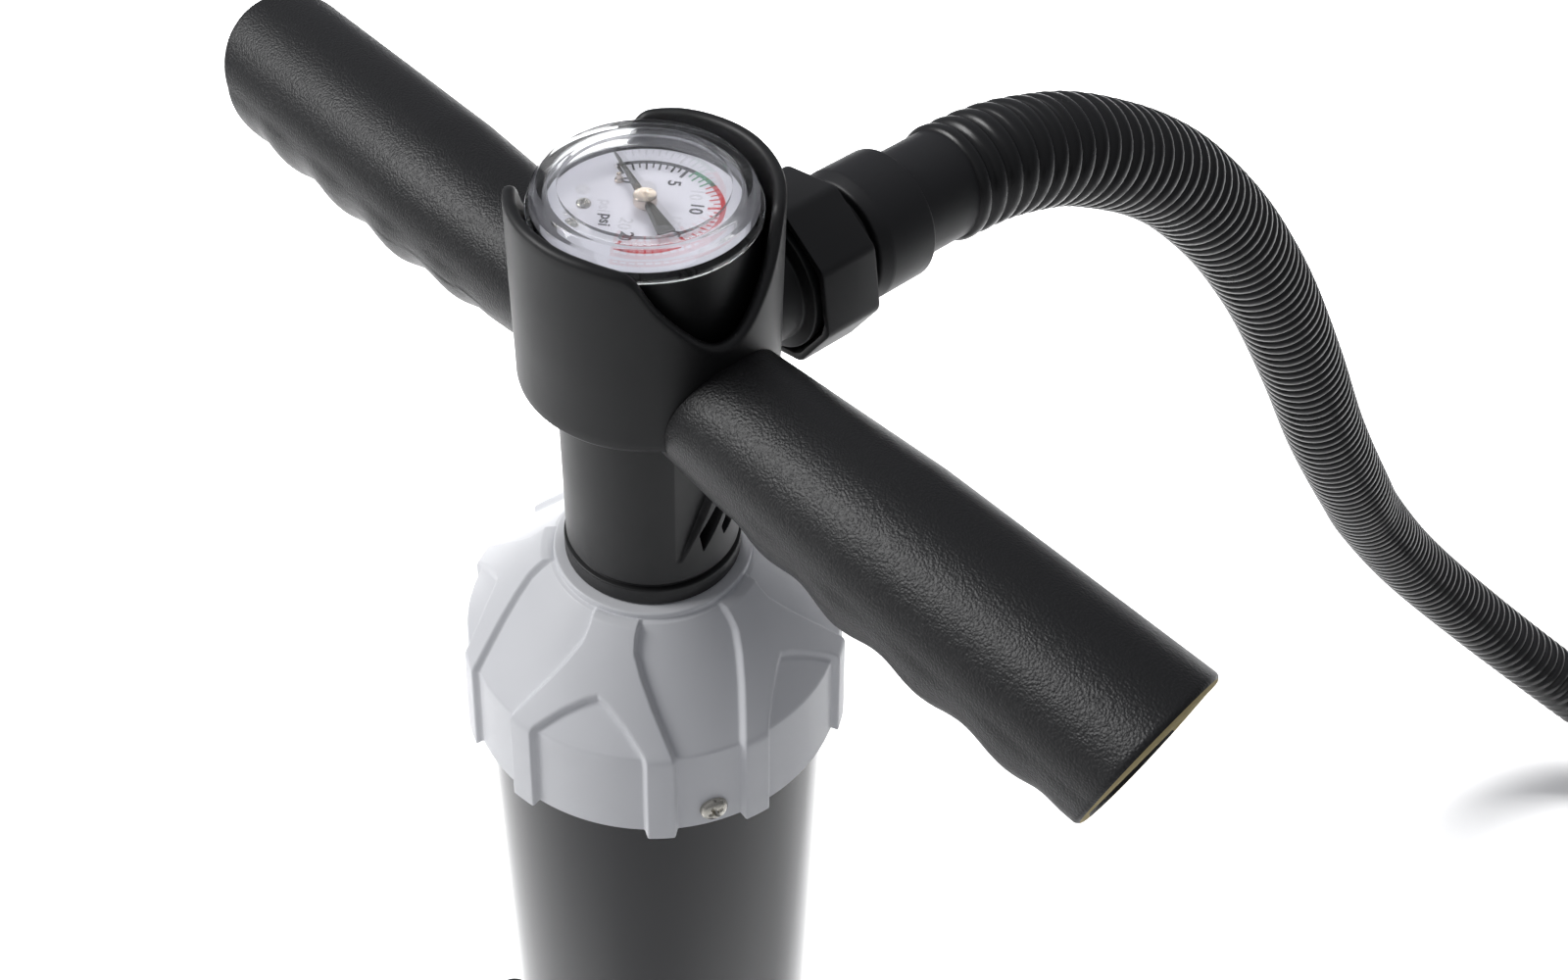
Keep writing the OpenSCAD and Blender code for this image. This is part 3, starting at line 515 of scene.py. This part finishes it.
def makeCap(spec, columns=900):
    outer = rounded([(spec["skirtR"], 0, 0.5), (spec["shoulderR"], spec["shoulderH"], 2.2),
                     (spec["coneTopR"], spec["coneTopH"], 0.8), (spec["neckR"], spec["height"] - 1.9, 0.4),
                     (spec["neckR"], spec["height"], 0.7), (spec["boreR"], spec["height"])], False)
    dense = []
    for (r0, z0), (r1, z1) in zip(outer, outer[1:]):
        n = max(1, round(math.hypot(r1 - r0, z1 - z0) / 0.8))
        dense += [(r0 + (r1 - r0) * k / n, z0 + (z1 - z0) * k / n) for k in range(n)]
    dense.append(outer[-1])
    dense = np.array(dense)
    slope = np.gradient(dense, axis=0)
    normal = np.stack([slope[:, 1], -slope[:, 0]], axis=1)
    normal /= np.linalg.norm(normal, axis=1)[:, None]
    half = [(r * math.cos(math.radians(a)), r * math.sin(math.radians(a))) for r, a in spec["ribHalf"]]
    outline = np.array(half + [(x, -y) for x, y in reversed(half[:-1])])
    angles = np.arange(columns) * 2 * math.pi / columns
    period = 2 * math.pi / spec["ribs"]
    local = (angles - math.radians(spec["ribPhase"]) + period / 2) % period - period / 2
    points = []
    for (r, z), (nr, nz) in zip(dense, normal):
        where = np.stack([r * np.cos(local), r * np.sin(local)], axis=1)
        lift = np.clip(insideDistance(where, outline) / (2 * spec["ribSoft"]) + 0.5, 0, 1)
        lift = lift ** 2 * (3 - 2 * lift)
        if r < spec["neckR"] + 1.5:
            lift = lift * max(0.0, min(1.0, (spec["coneTopH"] + 0.6 - z) / 1.2))
        rise = spec["ribRise"] * lift
        drop = spec["ribDrop"] * lift * max(0.0, 1 - z / 4)
        for angle, up, fall in zip(angles, rise, drop):
            radius = r + nr * up
            points.append((radius * math.cos(angle), radius * math.sin(angle), rimZ + z + nz * up - fall))
    bushFoot, roofZ = spec["height"] - spec["bushDrop"], spec["height"] - spec["roofThick"]
    inner = [(spec["boreR"], bushFoot), (spec["bushR"], bushFoot), (spec["bushR"], roofZ),
             (spec["skirtIn"], spec["skirtDeep"]), (spec["skirtIn"], 0.2)]
    for r, z in inner:
        points += [(r * math.cos(a), r * math.sin(a), rimZ + z) for a in angles]
    rows = len(dense) + len(inner)
    addMesh("capShell", points, gridFaces(rows, columns, True, True), greyAbs, "pump_body",
            ("top_cap",), 50)


makeCap(cap)
print("stage: cap")


# Head shroud
shroud = {
    "wall": 3.0, "floor": 4.0,
    "notchTurn": -4.0,     # degrees the openings lie off the arms, towards the user's side
    # the rim over each arm: degrees from the opening's middle, height above the shroud's foot
    "rim": [(0, 27.6), (6, 28.4), (12, 30.6), (18, 33.8), (24, 37.3), (29, 40.4), (33, 43.4), (36, 46.2),
            (38.5, 48.8), (41, 50.6), (45, 51.6), (52, 52.2), (60, 52.8), (90, 53.3)],
}


# Height of the rim above the shroud's foot at a given angle: full, with a deep dip over each arm
def rimHeight(angle, spec):
    fromArm = math.degrees(math.atan2(math.sin(angle), abs(math.cos(angle))))
    off = abs(fromArm - spec["notchTurn"])
    degrees, heights = zip(*spec["rim"])
    soft = [float(np.interp(abs(off + d), degrees, heights)) for d in (-2.5, -1.2, 0, 1.2, 2.5)]
    return sum(soft) / len(soft)


def makeShroud(spec, columns=512):
    half = spec["wall"] / 2
    points = []
    for k in range(columns):
        angle = 2 * math.pi * k / columns
        top = rimHeight(angle, spec) - half
        section = [(stemR - 0.2, 0), (headR - 1.5, 0), (headR - 0.6, 0.35), (headR - 0.1, 1.1)]
        section += [(headR, 1.6 + (top - 1.6) * i / 24) for i in range(25)]
        section += [(headR - half + half * math.cos(t), top + half * math.sin(t))
                    for t in [math.pi * i / 8 for i in range(1, 8)]]
        section += [(headR - spec["wall"], top - (top - spec["floor"]) * i / 12) for i in range(13)]
        section += [(stemR - 0.2, spec["floor"])]
        points += [(r * math.cos(angle), r * math.sin(angle), headZ + z) for r, z in section]
    addMesh("headShroud", points, gridFaces(columns, len(points) // columns, True, True), satinAbs, "handle",
            ("head_shroud",), 60)


makeShroud(shroud)
print("stage: head shroud")


# Grips
grip = {
    "radius": 17.0, "swell": 2.7, "belly": 2.2, "waveMm": 25.0, "waveRise": 1.1, "waveStart": 53.0,
    "swellStart": 23, "swellOver": 60,     # mm along the arm where it starts to widen, and over how long
    "end": 156.5, "endSlant": 0.325, "endSkew": 0.1, "endRound": 1.7, "trim": 0.6,
    "stations": 120, "sides": 96, "curlFrom": 0.94,     # share of the stations before the rounded end
}


def gripRadius(x, angle, spec):
    under = max(0.0, -math.cos(angle)) ** 0.8
    out = min(1.0, max(0.0, (x - spec["swellStart"]) / spec["swellOver"]))
    wave = spec["waveRise"] * math.sin((x - spec["waveStart"]) * 2 * math.pi / spec["waveMm"])
    wave *= min(1.0, max(0.0, (x - 44) / 10)) * min(1.0, max(0.0, (150 - x) / 8))
    return spec["radius"] + spec["swell"] * out + under * (spec["belly"] * out + wave)


# The end is cut at a slant, so its distance along the arm varies round it
def gripEnd(y, z, side, spec):
    return spec["end"] + spec["endSlant"] * z - spec["endSkew"] * y * side


def makeGrip(name, side, spec):
    n, m, curl = spec["stations"], spec["sides"], spec["curlFrom"]
    points = []
    for i in range(n + 1):
        share = i / n
        for k in range(m):
            angle = 2 * math.pi * k / m
            y = spec["radius"] * math.sin(angle)
            z = spec["radius"] * math.cos(angle)
            wall = headR + 0.1 if axisZ + z > headZ - 0.3 else stemR + 0.3
            start = math.sqrt(wall ** 2 - y ** 2)
            # the last stretch curls over the end's rounded edge
            body = gripEnd(y, z, side, spec) - spec["endRound"]
            if share <= curl:
                x = start + (body - start) * share / curl
                inset = 0.0
            else:
                t = (share - curl) / (1 - curl) * math.pi / 2
                x = body + spec["endRound"] * math.sin(t)
                inset = spec["endRound"] * (1 - math.cos(t))
            r = gripRadius(x, angle, spec) - inset
            points.append((side * x, side * r * math.sin(angle), axisZ + r * math.cos(angle)))
    # the end: a thin pale straw line round a dark disc
    for k in range(m):
        angle = 2 * math.pi * k / m
        r = gripRadius(spec["end"], angle, spec) - spec["endRound"] - spec["trim"]
        y, z = r * math.sin(angle), r * math.cos(angle)
        points.append((side * gripEnd(y, z, side, spec), side * y, axisZ + z))
    faces = gridFaces(n + 2, m)
    faces.append(tuple(range(m)))
    faces.append(tuple((n + 1) * m + k for k in reversed(range(m))))
    sleeve = addMesh(name, points, faces, gripLeather, "handle",
                     ("grip_" + ("right" if side > 0 else "left"),), 60)
    sleeve.data.materials.append(paleEndLine)
    for face in sleeve.data.polygons:
        middle = face.center / mm
        off = math.hypot(middle.y, middle.z - axisZ)
        outward = abs(face.normal.x) > 0.75 and abs(middle.x) > spec["end"] - 10
        atEdge = off > spec["radius"] - 3 and len(face.vertices) == 4
        face.material_index = 1 if outward and atEdge else 0


makeGrip("gripSleeveRight", 1, grip)
makeGrip("gripSleeveLeft", -1, grip)
print("stage: grips")


# Outlet, nut and connector
coupling = {
    "flangeY": 32.0, "flangeR": 18.4, "spigotR": 15.2, "threadR": 17.0,
    "nutY": 38.0, "nutLen": 17.5, "nutR": 23.0, "nutPhase": 11, "nutSides": 8, "nutSoft": 0.9,
    "nutCut": 0.085,       # share of each flat that the rounded corner takes
    "cornerSteps": 5, "neckR": 14.0, "collarY": 63.0, "collarLen": 16.0, "collarR": 17.8,
    "tubeR": 14.7, "hoseY": 97.0, "boreR": 9.0,
}


def makeSpigot(spec):
    flangeY, flangeR, spigotR, threadR = (spec[k] for k in ("flangeY", "flangeR", "spigotR", "threadR"))
    turned("outletSpigot", [(8, 14), (12, 14), (12, flangeY - 6), (spigotR, flangeY - 6, 1),
                            (spigotR, flangeY + 4, 0.8), (flangeR, flangeY + 5, 0.6),
                            (flangeR, flangeY + 8, 0.6), (threadR, flangeY + 8.4),
                            (threadR, flangeY + 14, 0.5), (8, flangeY + 14)],
           satinAbs, "handle", ("outlet_spigot",), "y", (0, 0, outletZ))


def makeConnector(spec):
    neckR, collarR, tubeR, boreR = (spec[k] for k in ("neckR", "collarR", "tubeR", "boreR"))
    neckEnd, tailY, hoseEnd = spec["collarY"], spec["flangeY"] + 15.5, spec["hoseY"] + 3
    collarEnd = neckEnd + spec["collarLen"]
    turned("hoseConnector", [(boreR, tailY), (16.6, tailY), (16.6, tailY + 4), (neckR, tailY + 4),
                             (neckR, neckEnd - 2, 0.6), (collarR - 1.6, neckEnd - 2, 1.4),
                             (collarR - 0.1, neckEnd + 1.2, 1.6), (collarR, neckEnd + 1.8, 0.3),
                             (collarR, collarEnd, 0.9), (tubeR, collarEnd + 0.2, 0.5),
                             (tubeR, hoseEnd, 0.3), (boreR, hoseEnd)],
           charcoalAbs, "handle", ("hose_connector",), "y", (0, 0, outletZ))


def makeNut(spec):
    sides, steps, soft, cut = (spec[k] for k in ("nutSides", "cornerSteps", "nutSoft", "nutCut"))
    nutY, nutLen, boreR = spec["nutY"], spec["nutLen"], spec["flangeR"] + 0.3
    corners = [math.radians(spec["nutPhase"] + 360 / sides * k) for k in range(sides)]
    rings = [(spec["nutR"] - inset, nutY + along)
             for inset, along in [(soft, 0), (0.25, 0.25), (0, soft), (0, nutLen - soft),
                                  (0.25, nutLen - 0.25), (soft, nutLen)]]
    points = []
    for r, y in rings:
        for k in range(sides):
            here, before, after = (Vector((math.cos(corners[i]), math.sin(corners[i]))) * r
                                   for i in (k, k - 1, (k + 1) % sides))
            a, b = here.lerp(before, cut), here.lerp(after, cut)
            for i in range(steps):
                t = i / (steps - 1)
                p = a * (1 - t) ** 2 + here * 2 * t * (1 - t) + b * t * t
                points.append((p.x, y, outletZ - p.y))
    bore = [(spec["neckR"] + 0.3, nutY + nutLen), (spec["neckR"] + 0.3, nutY + 13.5), (boreR, nutY + 13.5),
            (boreR, nutY + 3), (spec["flangeR"] + 2.0, nutY + 0.2)]
    for r, y in bore:
        for k in range(sides):
            for i in range(steps):
                # the bore's points face the corner's points, so the ring faces stay even
                a = corners[k] + math.radians((i - 2) * 2.4)
                points.append((r * math.cos(a), y, outletZ - r * math.sin(a)))
    addMesh("unionNut", points, gridFaces(len(rings) + len(bore), sides * steps, True, True), satinAbs,
            "hose_nut", ("union_nut",), 40)


makeSpigot(coupling)
makeConnector(coupling)
makeNut(coupling)
print("stage: coupling")


# Stem: a sleeve with a flat pocket under each arm, and the bumper ring at its foot
stem = {
    "ringHigh": 6.6, "lip": 1.5, "inner": 17.7,
    "pocketDeg": 24.5,     # half-angle of the flat, which leaves its edges upright
    "pocketLow": 71.0,     # heights above the cap's rim
    "web": [(-8.2, 70), (0.7, 87.4), (6.5, 97.7), (14, 97.7), (14, 70)],
    "slots": [[(2.5, 84.9), (5.2, 81.2), (-1.7, 71.9), (-2.8, 78.0)],
              [(6.3, 78.6), (8.8, 74.6), (5.6, 72.8), (4.7, 75.9)]],
    "slotDeep": 3.0,
}


def makeStem(spec, columns=720):
    low = lowOf("bumper_ring").z
    ringR = highOf("bumper_ring").x
    base = low + spec["ringHigh"]
    lipZ = base - spec["lip"]
    turned("bumperRing", [(spec["inner"], low), (ringR, low, 0.6), (ringR, lipZ, 0.5),
                          (stemR - 0.9, lipZ + 0.3, 0.3), (stemR - 0.9, base), (spec["inner"], base)],
           sealRubber, "handle", ("bumper_ring",))
    angles = np.arange(columns) * 2 * math.pi / columns
    heights = np.concatenate([[base, base + 0.15, base + 0.4], np.arange(base + 0.8, headZ + 2, 0.35)])
    flat = stemR * math.cos(math.radians(spec["pocketDeg"]))
    off = (angles + math.pi / 2) % math.pi - math.pi / 2
    points = [(spec["inner"] * math.cos(a), spec["inner"] * math.sin(a), base) for a in angles]
    for z in heights:
        edge = 0.4 if z == base else 0.1 if z < base + 0.3 else 0
        radius = np.full(columns, stemR - edge)
        across = stemR * np.sin(off) * np.sign(np.cos(angles))
        where = np.stack([across, np.full(columns, z - rimZ)], axis=1)
        onFlat = np.abs(off) < math.radians(spec["pocketDeg"])
        web = np.clip(insideDistance(where, np.array(spec["web"])) / 0.5 + 0.5, 0, 1)
        deep = np.where(onFlat, stemR - flat / np.cos(off), 0)
        rise = np.clip((z - rimZ - spec["pocketLow"]) / 1.2 + 0.5, 0, 1)
        radius -= deep * rise * (1 - web)
        for slot in spec["slots"]:
            radius -= spec["slotDeep"] * np.clip(insideDistance(where, np.array(slot)) / 0.35 + 0.5, 0, 1)
        points += [(r * math.cos(a), r * math.sin(a), z) for r, a in zip(radius, angles)]
    points += [(spec["inner"] * math.cos(a), spec["inner"] * math.sin(a), headZ + 2) for a in angles]
    addMesh("stemSleeve", points, gridFaces(len(heights) + 2, columns, True, True), satinAbs, "handle",
            ("stem_sleeve",), 40)


makeStem(stem)
barrelFootZ = lowOf("barrel").z
barrelBore = barrelR - 2.25
turned("barrelTube", [(barrelBore, barrelFootZ), (barrelR, barrelFootZ, 0.4),
                      (barrelR, barrelTopZ, 0.4), (barrelBore, barrelTopZ)],
       polishedTube, "pump_body", ("barrel",), steps=256)
print("stage: stem and barrel")


# Gauge
gauge = {
    "zeroDeg": 162.0, "perUnitDeg": 11.2, "full": 20, "bandR": 16.9, "bandW": 1.15,
    "zones": [("Black", 0, 5.5, blackInk), ("Green", 5.5, 7.5, greenInk), ("Red", 7.5, 20, redInk)],
    "textTurn": -50.0, "textMm": 4.2, "boldMm": 0.09, "labelR": 11.3, "unitAt": (-2.4, -9.4), "inkMm": 0.04,
    "screws": [("A", -10.1, -9.5, 30), ("B", -5.1, -16.7, 65)],     # place and how its slot is turned
    "screwR": 1.75, "screwH": 0.9,
    "pinR": 12, "pinAhead": 8,     # mm from the middle, degrees before zero
}


def makeLens():
    base = dialZ
    roofR = dialR - 3.2
    underZ = lensTopZ - 1.8
    turned("lensRim", [(dialR + 0.4, base), (lensR, base, 0.3), (lensR, base + 1.6, 0.5),
                       (lensR - 1.0, base + 2.6, 0.6), (lensR - 1.2, base + 5.2, 0.9),
                       (lensR - 2.9, lensTopZ, 1.2), (roofR, lensTopZ), (roofR, underZ),
                       (dialR - 0.7, underZ, 0.7), (dialR - 0.1, base + 3.6, 0.6)],
           acrylicRim, "handle", ("gauge_lens",))
    edgeR = roofR - 0.01
    turned("lensRoof", [(0, lensTopZ), (edgeR, lensTopZ), (edgeR, underZ), (0, underZ)],
           acrylicRoof, "handle")
    turned("gaugeCup", [(caseR - 3, base - 23), (caseR, base - 23, 0.5), (caseR, base, 0.4),
                        (dialR + 0.05, base), (dialR + 0.05, base - 0.85), (dialR - 1.5, base - 0.85),
                        (dialR - 1.5, base - 14), (caseR - 3, base - 17)],
           satinAbs, "handle", ("gauge_case",))


def inkStroke(corners):
    low, high = dialZ + 0.005, dialZ + gauge["inkMm"]
    n = len(corners)
    points = [(x, y, low) for x, y in corners] + [(x, y, high) for x, y in corners]
    faces = [tuple(range(n - 1, -1, -1)), tuple(range(n, 2 * n))]
    faces += [(k, (k + 1) % n, n + (k + 1) % n, n + k) for k in range(n)]
    return points, faces


def inkLayer(name, strokes, material):
    points, faces = [], []
    for corners in strokes:
        p, f = inkStroke(corners)
        faces += [tuple(i + len(points) for i in face) for face in f]
        points += p
    addMesh(name, points, faces, material, "handle", (), 30)


def dialAngle(value):
    return math.radians(gauge["zeroDeg"] - gauge["perUnitDeg"] * value)


def band(start, end):
    r0, r1 = gauge["bandR"], gauge["bandR"] + gauge["bandW"]
    steps = max(2, round((end - start) * 4))
    turns = [dialAngle(start + (end - start) * k / steps) for k in range(steps + 1)]
    quads = []
    for a, b in zip(turns, turns[1:]):
        quads.append([(r1 * math.cos(b), r1 * math.sin(b)), (r1 * math.cos(a), r1 * math.sin(a)),
                      (r0 * math.cos(a), r0 * math.sin(a)), (r0 * math.cos(b), r0 * math.sin(b))])
    return quads


def tick(value):
    length, width = (3.0, 0.75) if value % 5 == 0 else (2.3, 0.48) if value % 1 == 0 else (1.6, 0.4)
    a = dialAngle(value)
    along, across = Vector((math.cos(a), math.sin(a))), Vector((-math.sin(a), math.cos(a))) * width / 2
    outer, inner = along * gauge["bandR"], along * (gauge["bandR"] - length)
    return [tuple(outer + across), tuple(inner + across), tuple(inner - across), tuple(outer - across)]


def makeScale(spec):
    halves = [k / 2 for k in range(2 * spec["full"] + 1)]
    for label, start, end, ink in spec["zones"]:
        marks = [v for v in halves if start <= v < end or v == end == spec["full"]]
        inkLayer("scale" + label, band(start, end) + [tick(v) for v in marks], ink)


def printText(body, x, y, size):
    curve = bpy.data.curves.new("printed_" + body, "FONT")
    curve.body = body
    curve.size = size * mm
    curve.align_x = "CENTER"
    curve.align_y = "CENTER"
    curve.extrude = 0.015 * mm
    curve.offset = gauge["boldMm"] * mm
    source = bpy.data.objects.new("printed_" + body, curve)
    bpy.context.scene.collection.objects.link(source)
    bpy.context.view_layer.update()
    mesh = bpy.data.meshes.new_from_object(source.evaluated_get(bpy.context.evaluated_depsgraph_get()))
    bpy.data.objects.remove(source)
    turn = Matrix.Rotation(math.radians(gauge["textTurn"]), 4, "Z")
    mesh.transform(Matrix.Translation(Vector((x, y, dialZ + 0.022)) * mm) @ turn)
    mesh.materials.clear()
    mesh.materials.append(blackInk)
    obj = bpy.data.objects.new("printed_" + body, mesh)
    bpy.context.scene.collection.objects.link(obj)
    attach(obj, "handle")


def makeDial(spec):
    turned("dialFace", [(0.9, dialZ - 0.8), (dialR - 0.05, dialZ - 0.8), (dialR - 0.05, dialZ), (0.9, dialZ)],
           dialEnamel, "handle", ("dial_plate",))
    makeScale(spec)
    for value in range(0, spec["full"] + 1, 5):
        a = dialAngle(value)
        printText(str(value), spec["labelR"] * math.cos(a), spec["labelR"] * math.sin(a), spec["textMm"])
    printText("psi", *spec["unitAt"], spec["textMm"] * 0.95)


# A pan-head cross screw: its head's middle, the way it faces, and its radius. The profile gives
# shares of the radius and of the height
panHead = [(1, -0.6), (1, 0.0), (0.99, 0.25), (0.93, 0.5), (0.8, 0.74), (0.62, 0.89), (0.42, 0.97),
           (0.2, 1), (0.0001, 1)]


def crossScrew(name, middle, facing, radius, height, body, replaces=(), slotDeg=20, columns=72):
    toWorld = Vector(facing).normalized().to_track_quat("Z", "Y").to_matrix()
    spin = math.radians(slotDeg)
    reach, width = radius * 0.6, radius * 0.16
    fine = []
    for (r0, h0), (r1, h1) in zip(panHead, panHead[1:]):
        fine += [(r0 + (r1 - r0) * k / 4, h0 + (h1 - h0) * k / 4) for k in range(4)]
    fine.append(panHead[-1])
    points = []
    for share, rise in fine:
        for k in range(columns):
            a = 2 * math.pi * k / columns
            x, y = radius * share * math.cos(a), radius * share * math.sin(a)
            z = height * rise
            u, v = x * math.cos(spin) + y * math.sin(spin), -x * math.sin(spin) + y * math.cos(spin)
            taper = 1 - max(abs(u), abs(v)) / reach
            if min(abs(u), abs(v)) < width and taper > 0:
                z -= height * 0.75 * min(1.0, taper * 1.6) * (1 - (min(abs(u), abs(v)) / width) ** 4)
            points.append(Vector(middle) + toWorld @ Vector((x, y, z)))
    faces = gridFaces(len(fine), columns)
    faces.append(tuple(reversed(range(columns))))
    addMesh(name, points, faces, zincSteel, body, replaces, 45)


def makePointer(spec):
    turn = Matrix.Rotation(math.radians(spec["zeroDeg"]), 3, "Z")
    low, high = lowOf("pointer").z, highOf("pointer").z
    side = [(19, 0.22), (3, 1.0), (-2, 1.0), (-12.8, 2.1), (-13, 1.9)]     # along the blade, half width
    outline = side + [(x, -y) for x, y in reversed(side)]
    n = len(outline)
    points = [turn @ Vector((x, y, z)) for z in (low, high) for x, y in outline]
    faces = [tuple(reversed(range(n))), tuple(range(n, 2 * n))]
    faces += [(k, (k + 1) % n, n + (k + 1) % n, n + k) for k in range(n)]
    addMesh("pointerBlade", points, faces, pointerPaint, "gauge_pointer",
            ("pointer",), 30)
    hubTop = highOf("pointer_hub").z
    turned("pointerHub", [(0.8, low - 8), (0.8, low - 0.9), (2.7, low - 0.9, 0.3), (2.7, hubTop - 0.1, 0.4),
                          (0.5, hubTop, 0.1), (0.35, hubTop - 0.5), (0.001, hubTop - 0.5), (0.001, low - 8)],
           turnedNickel, "gauge_pointer", ("pointer_hub",), steps=64)


# The pin that the pointer rests against at zero
def makeZeroPin(spec):
    a = math.radians(spec["zeroDeg"] + spec["pinAhead"])
    place = (spec["pinR"] * math.cos(a), spec["pinR"] * math.sin(a), dialZ)
    turned("zeroPin", [(0.001, 0), (1.1, 0), (1.1, 0.5, 0.2), (0.6, 0.8), (0.6, 2.0, 0.25), (0.001, 2.0)],
           turnedNickel, "handle", ("zero_pin",), "z", place, 40)


makeLens()
makeDial(gauge)
makePointer(gauge)
for label, x, y, slotDeg in gauge["screws"]:
    crossScrew("dialScrew" + label, (x, y, dialZ), (0, 0, 1), gauge["screwR"], gauge["screwH"], "handle",
               ("dial_screws",) if label == "A" else (), slotDeg)
makeZeroPin(gauge)
print("stage: gauge")


# Screws of the cap and the base
screws = {
    "angle": -22.5, "count": 3, "headR": 3.8, "headH": 2.1,
    "capUp": 6, "capSeat": 51.45,          # above the cap's rim, and how far out the heads sit
    "baseDown": 8, "baseSeat": 5.75,       # below the socket's top, and how far outside the barrel
}
screwSets = (("cap", rimZ + screws["capUp"], screws["capSeat"], "cap_screws"),
             ("base", highOf("base_plate").z - screws["baseDown"], barrelR + screws["baseSeat"],
              "base_screws"))
for label, height, seat, nodeName in screwSets:
    for k in range(screws["count"]):
        a = math.radians(screws["angle"] + 360 * k / screws["count"])
        facing = (math.cos(a), math.sin(a), 0)
        crossScrew(f"{label}Screw{k}", (seat * facing[0], seat * facing[1], height), facing, screws["headR"],
                   screws["headH"], "pump_body", (nodeName,) if k == 0 else (), 25 + 40 * k)
print("stage: screws")


# Floor and light
def addStage(reach=8):
    mat, tree, shader, place = newMaterial("paleStudioFloor", {"Roughness": 0.9, "IOR": 1.4})
    cloud = addNode(tree, "ShaderNodeTexNoise", {"Scale": 3.0, "Detail": 2.0}, {"Vector": place})
    tone = addNode(tree, "ShaderNodeMix", {"data_type": "RGBA"}, {"Factor": cloud.outputs["Fac"]})
    tone.inputs[6].default_value = linear("#f4f4f4")
    tone.inputs[7].default_value = linear("#f8f8f8")
    tree.links.new(tone.outputs[2], shader.inputs["Base Color"])
    mesh = bpy.data.meshes.new("studioFloor")
    corners = [(-reach, -reach, 0), (reach, -reach, 0), (reach, reach, 0), (-reach, reach, 0)]
    mesh.from_pydata(corners, [], [(0, 1, 2, 3)])
    mesh.materials.append(mat)
    floor = bpy.data.objects.new("studioFloor", mesh)
    bpy.context.scene.collection.objects.link(floor)


# A square soft box. One that isn't mirrored lights the scene but doesn't show in glossy surfaces
def addLight(name, place, aim, size, watts, spread=180, mirrored=True):
    data = bpy.data.lights.new(name, "AREA")
    data.shape = "RECTANGLE"
    data.size = data.size_y = size
    data.energy = watts
    data.spread = math.radians(spread)
    obj = bpy.data.objects.new(name, data)
    obj.location = place
    obj.rotation_mode = "QUATERNION"
    obj.rotation_quaternion = (Vector(aim) - Vector(place)).to_track_quat("-Z", "Y")
    obj.visible_glossy = mirrored
    bpy.context.scene.collection.objects.link(obj)


# The room: bright on one side, dim on the other, and white where it is seen plainly
def addWorld(spec):
    world = bpy.data.worlds.new("softStudio")
    world.use_nodes = True
    tree = world.node_tree
    tree.nodes.clear()
    way = addNode(tree, "ShaderNodeTexCoord").outputs["Generated"]
    side = addNode(tree, "ShaderNodeVectorMath", {"operation": "DOT_PRODUCT", 1: spec["brightSide"]},
                   {0: way})
    level = addNode(tree, "ShaderNodeMapRange", {"From Min": -0.5, "From Max": 0.9, "To Min": spec["dark"],
                    "To Max": spec["bright"]}, {"Value": side.outputs["Value"]})
    room = addNode(tree, "ShaderNodeBackground", {"Color": linear("#f6f8ff")},
                   {"Strength": level.outputs[0]})
    plain = addNode(tree, "ShaderNodeBackground", {"Color": linear("#ffffff"), "Strength": 1.0})
    seen = addNode(tree, "ShaderNodeLightPath").outputs["Is Camera Ray"]
    mix = addNode(tree, "ShaderNodeMixShader", None, {0: seen, 1: room.outputs[0], 2: plain.outputs[0]})
    addNode(tree, "ShaderNodeOutputWorld", None, {"Surface": mix.outputs[0]})
    bpy.context.scene.world = world


# Places and sizes of the lights are in metres
studio = {
    "room": {"brightSide": (-0.6, -0.35, 0.72), "dark": 0.15, "bright": 0.38},
    "softKey": {"place": (-1.3, -1.5, 2.0), "aim": (0, 0, 0.55), "size": 1.0, "watts": 36},
    "floorWash": {"place": (-0.75, 0.8, 1.7), "aim": (-0.8, 0.85, 0), "size": 0.9, "watts": 36,
                  "spread": 100, "mirrored": False},
}
addStage()
addWorld(studio["room"])
for lamp in ("softKey", "floorWash"):
    addLight(lamp, **studio[lamp])
bpy.context.scene.view_settings.view_transform = "Standard"
print("stage: floor and light")
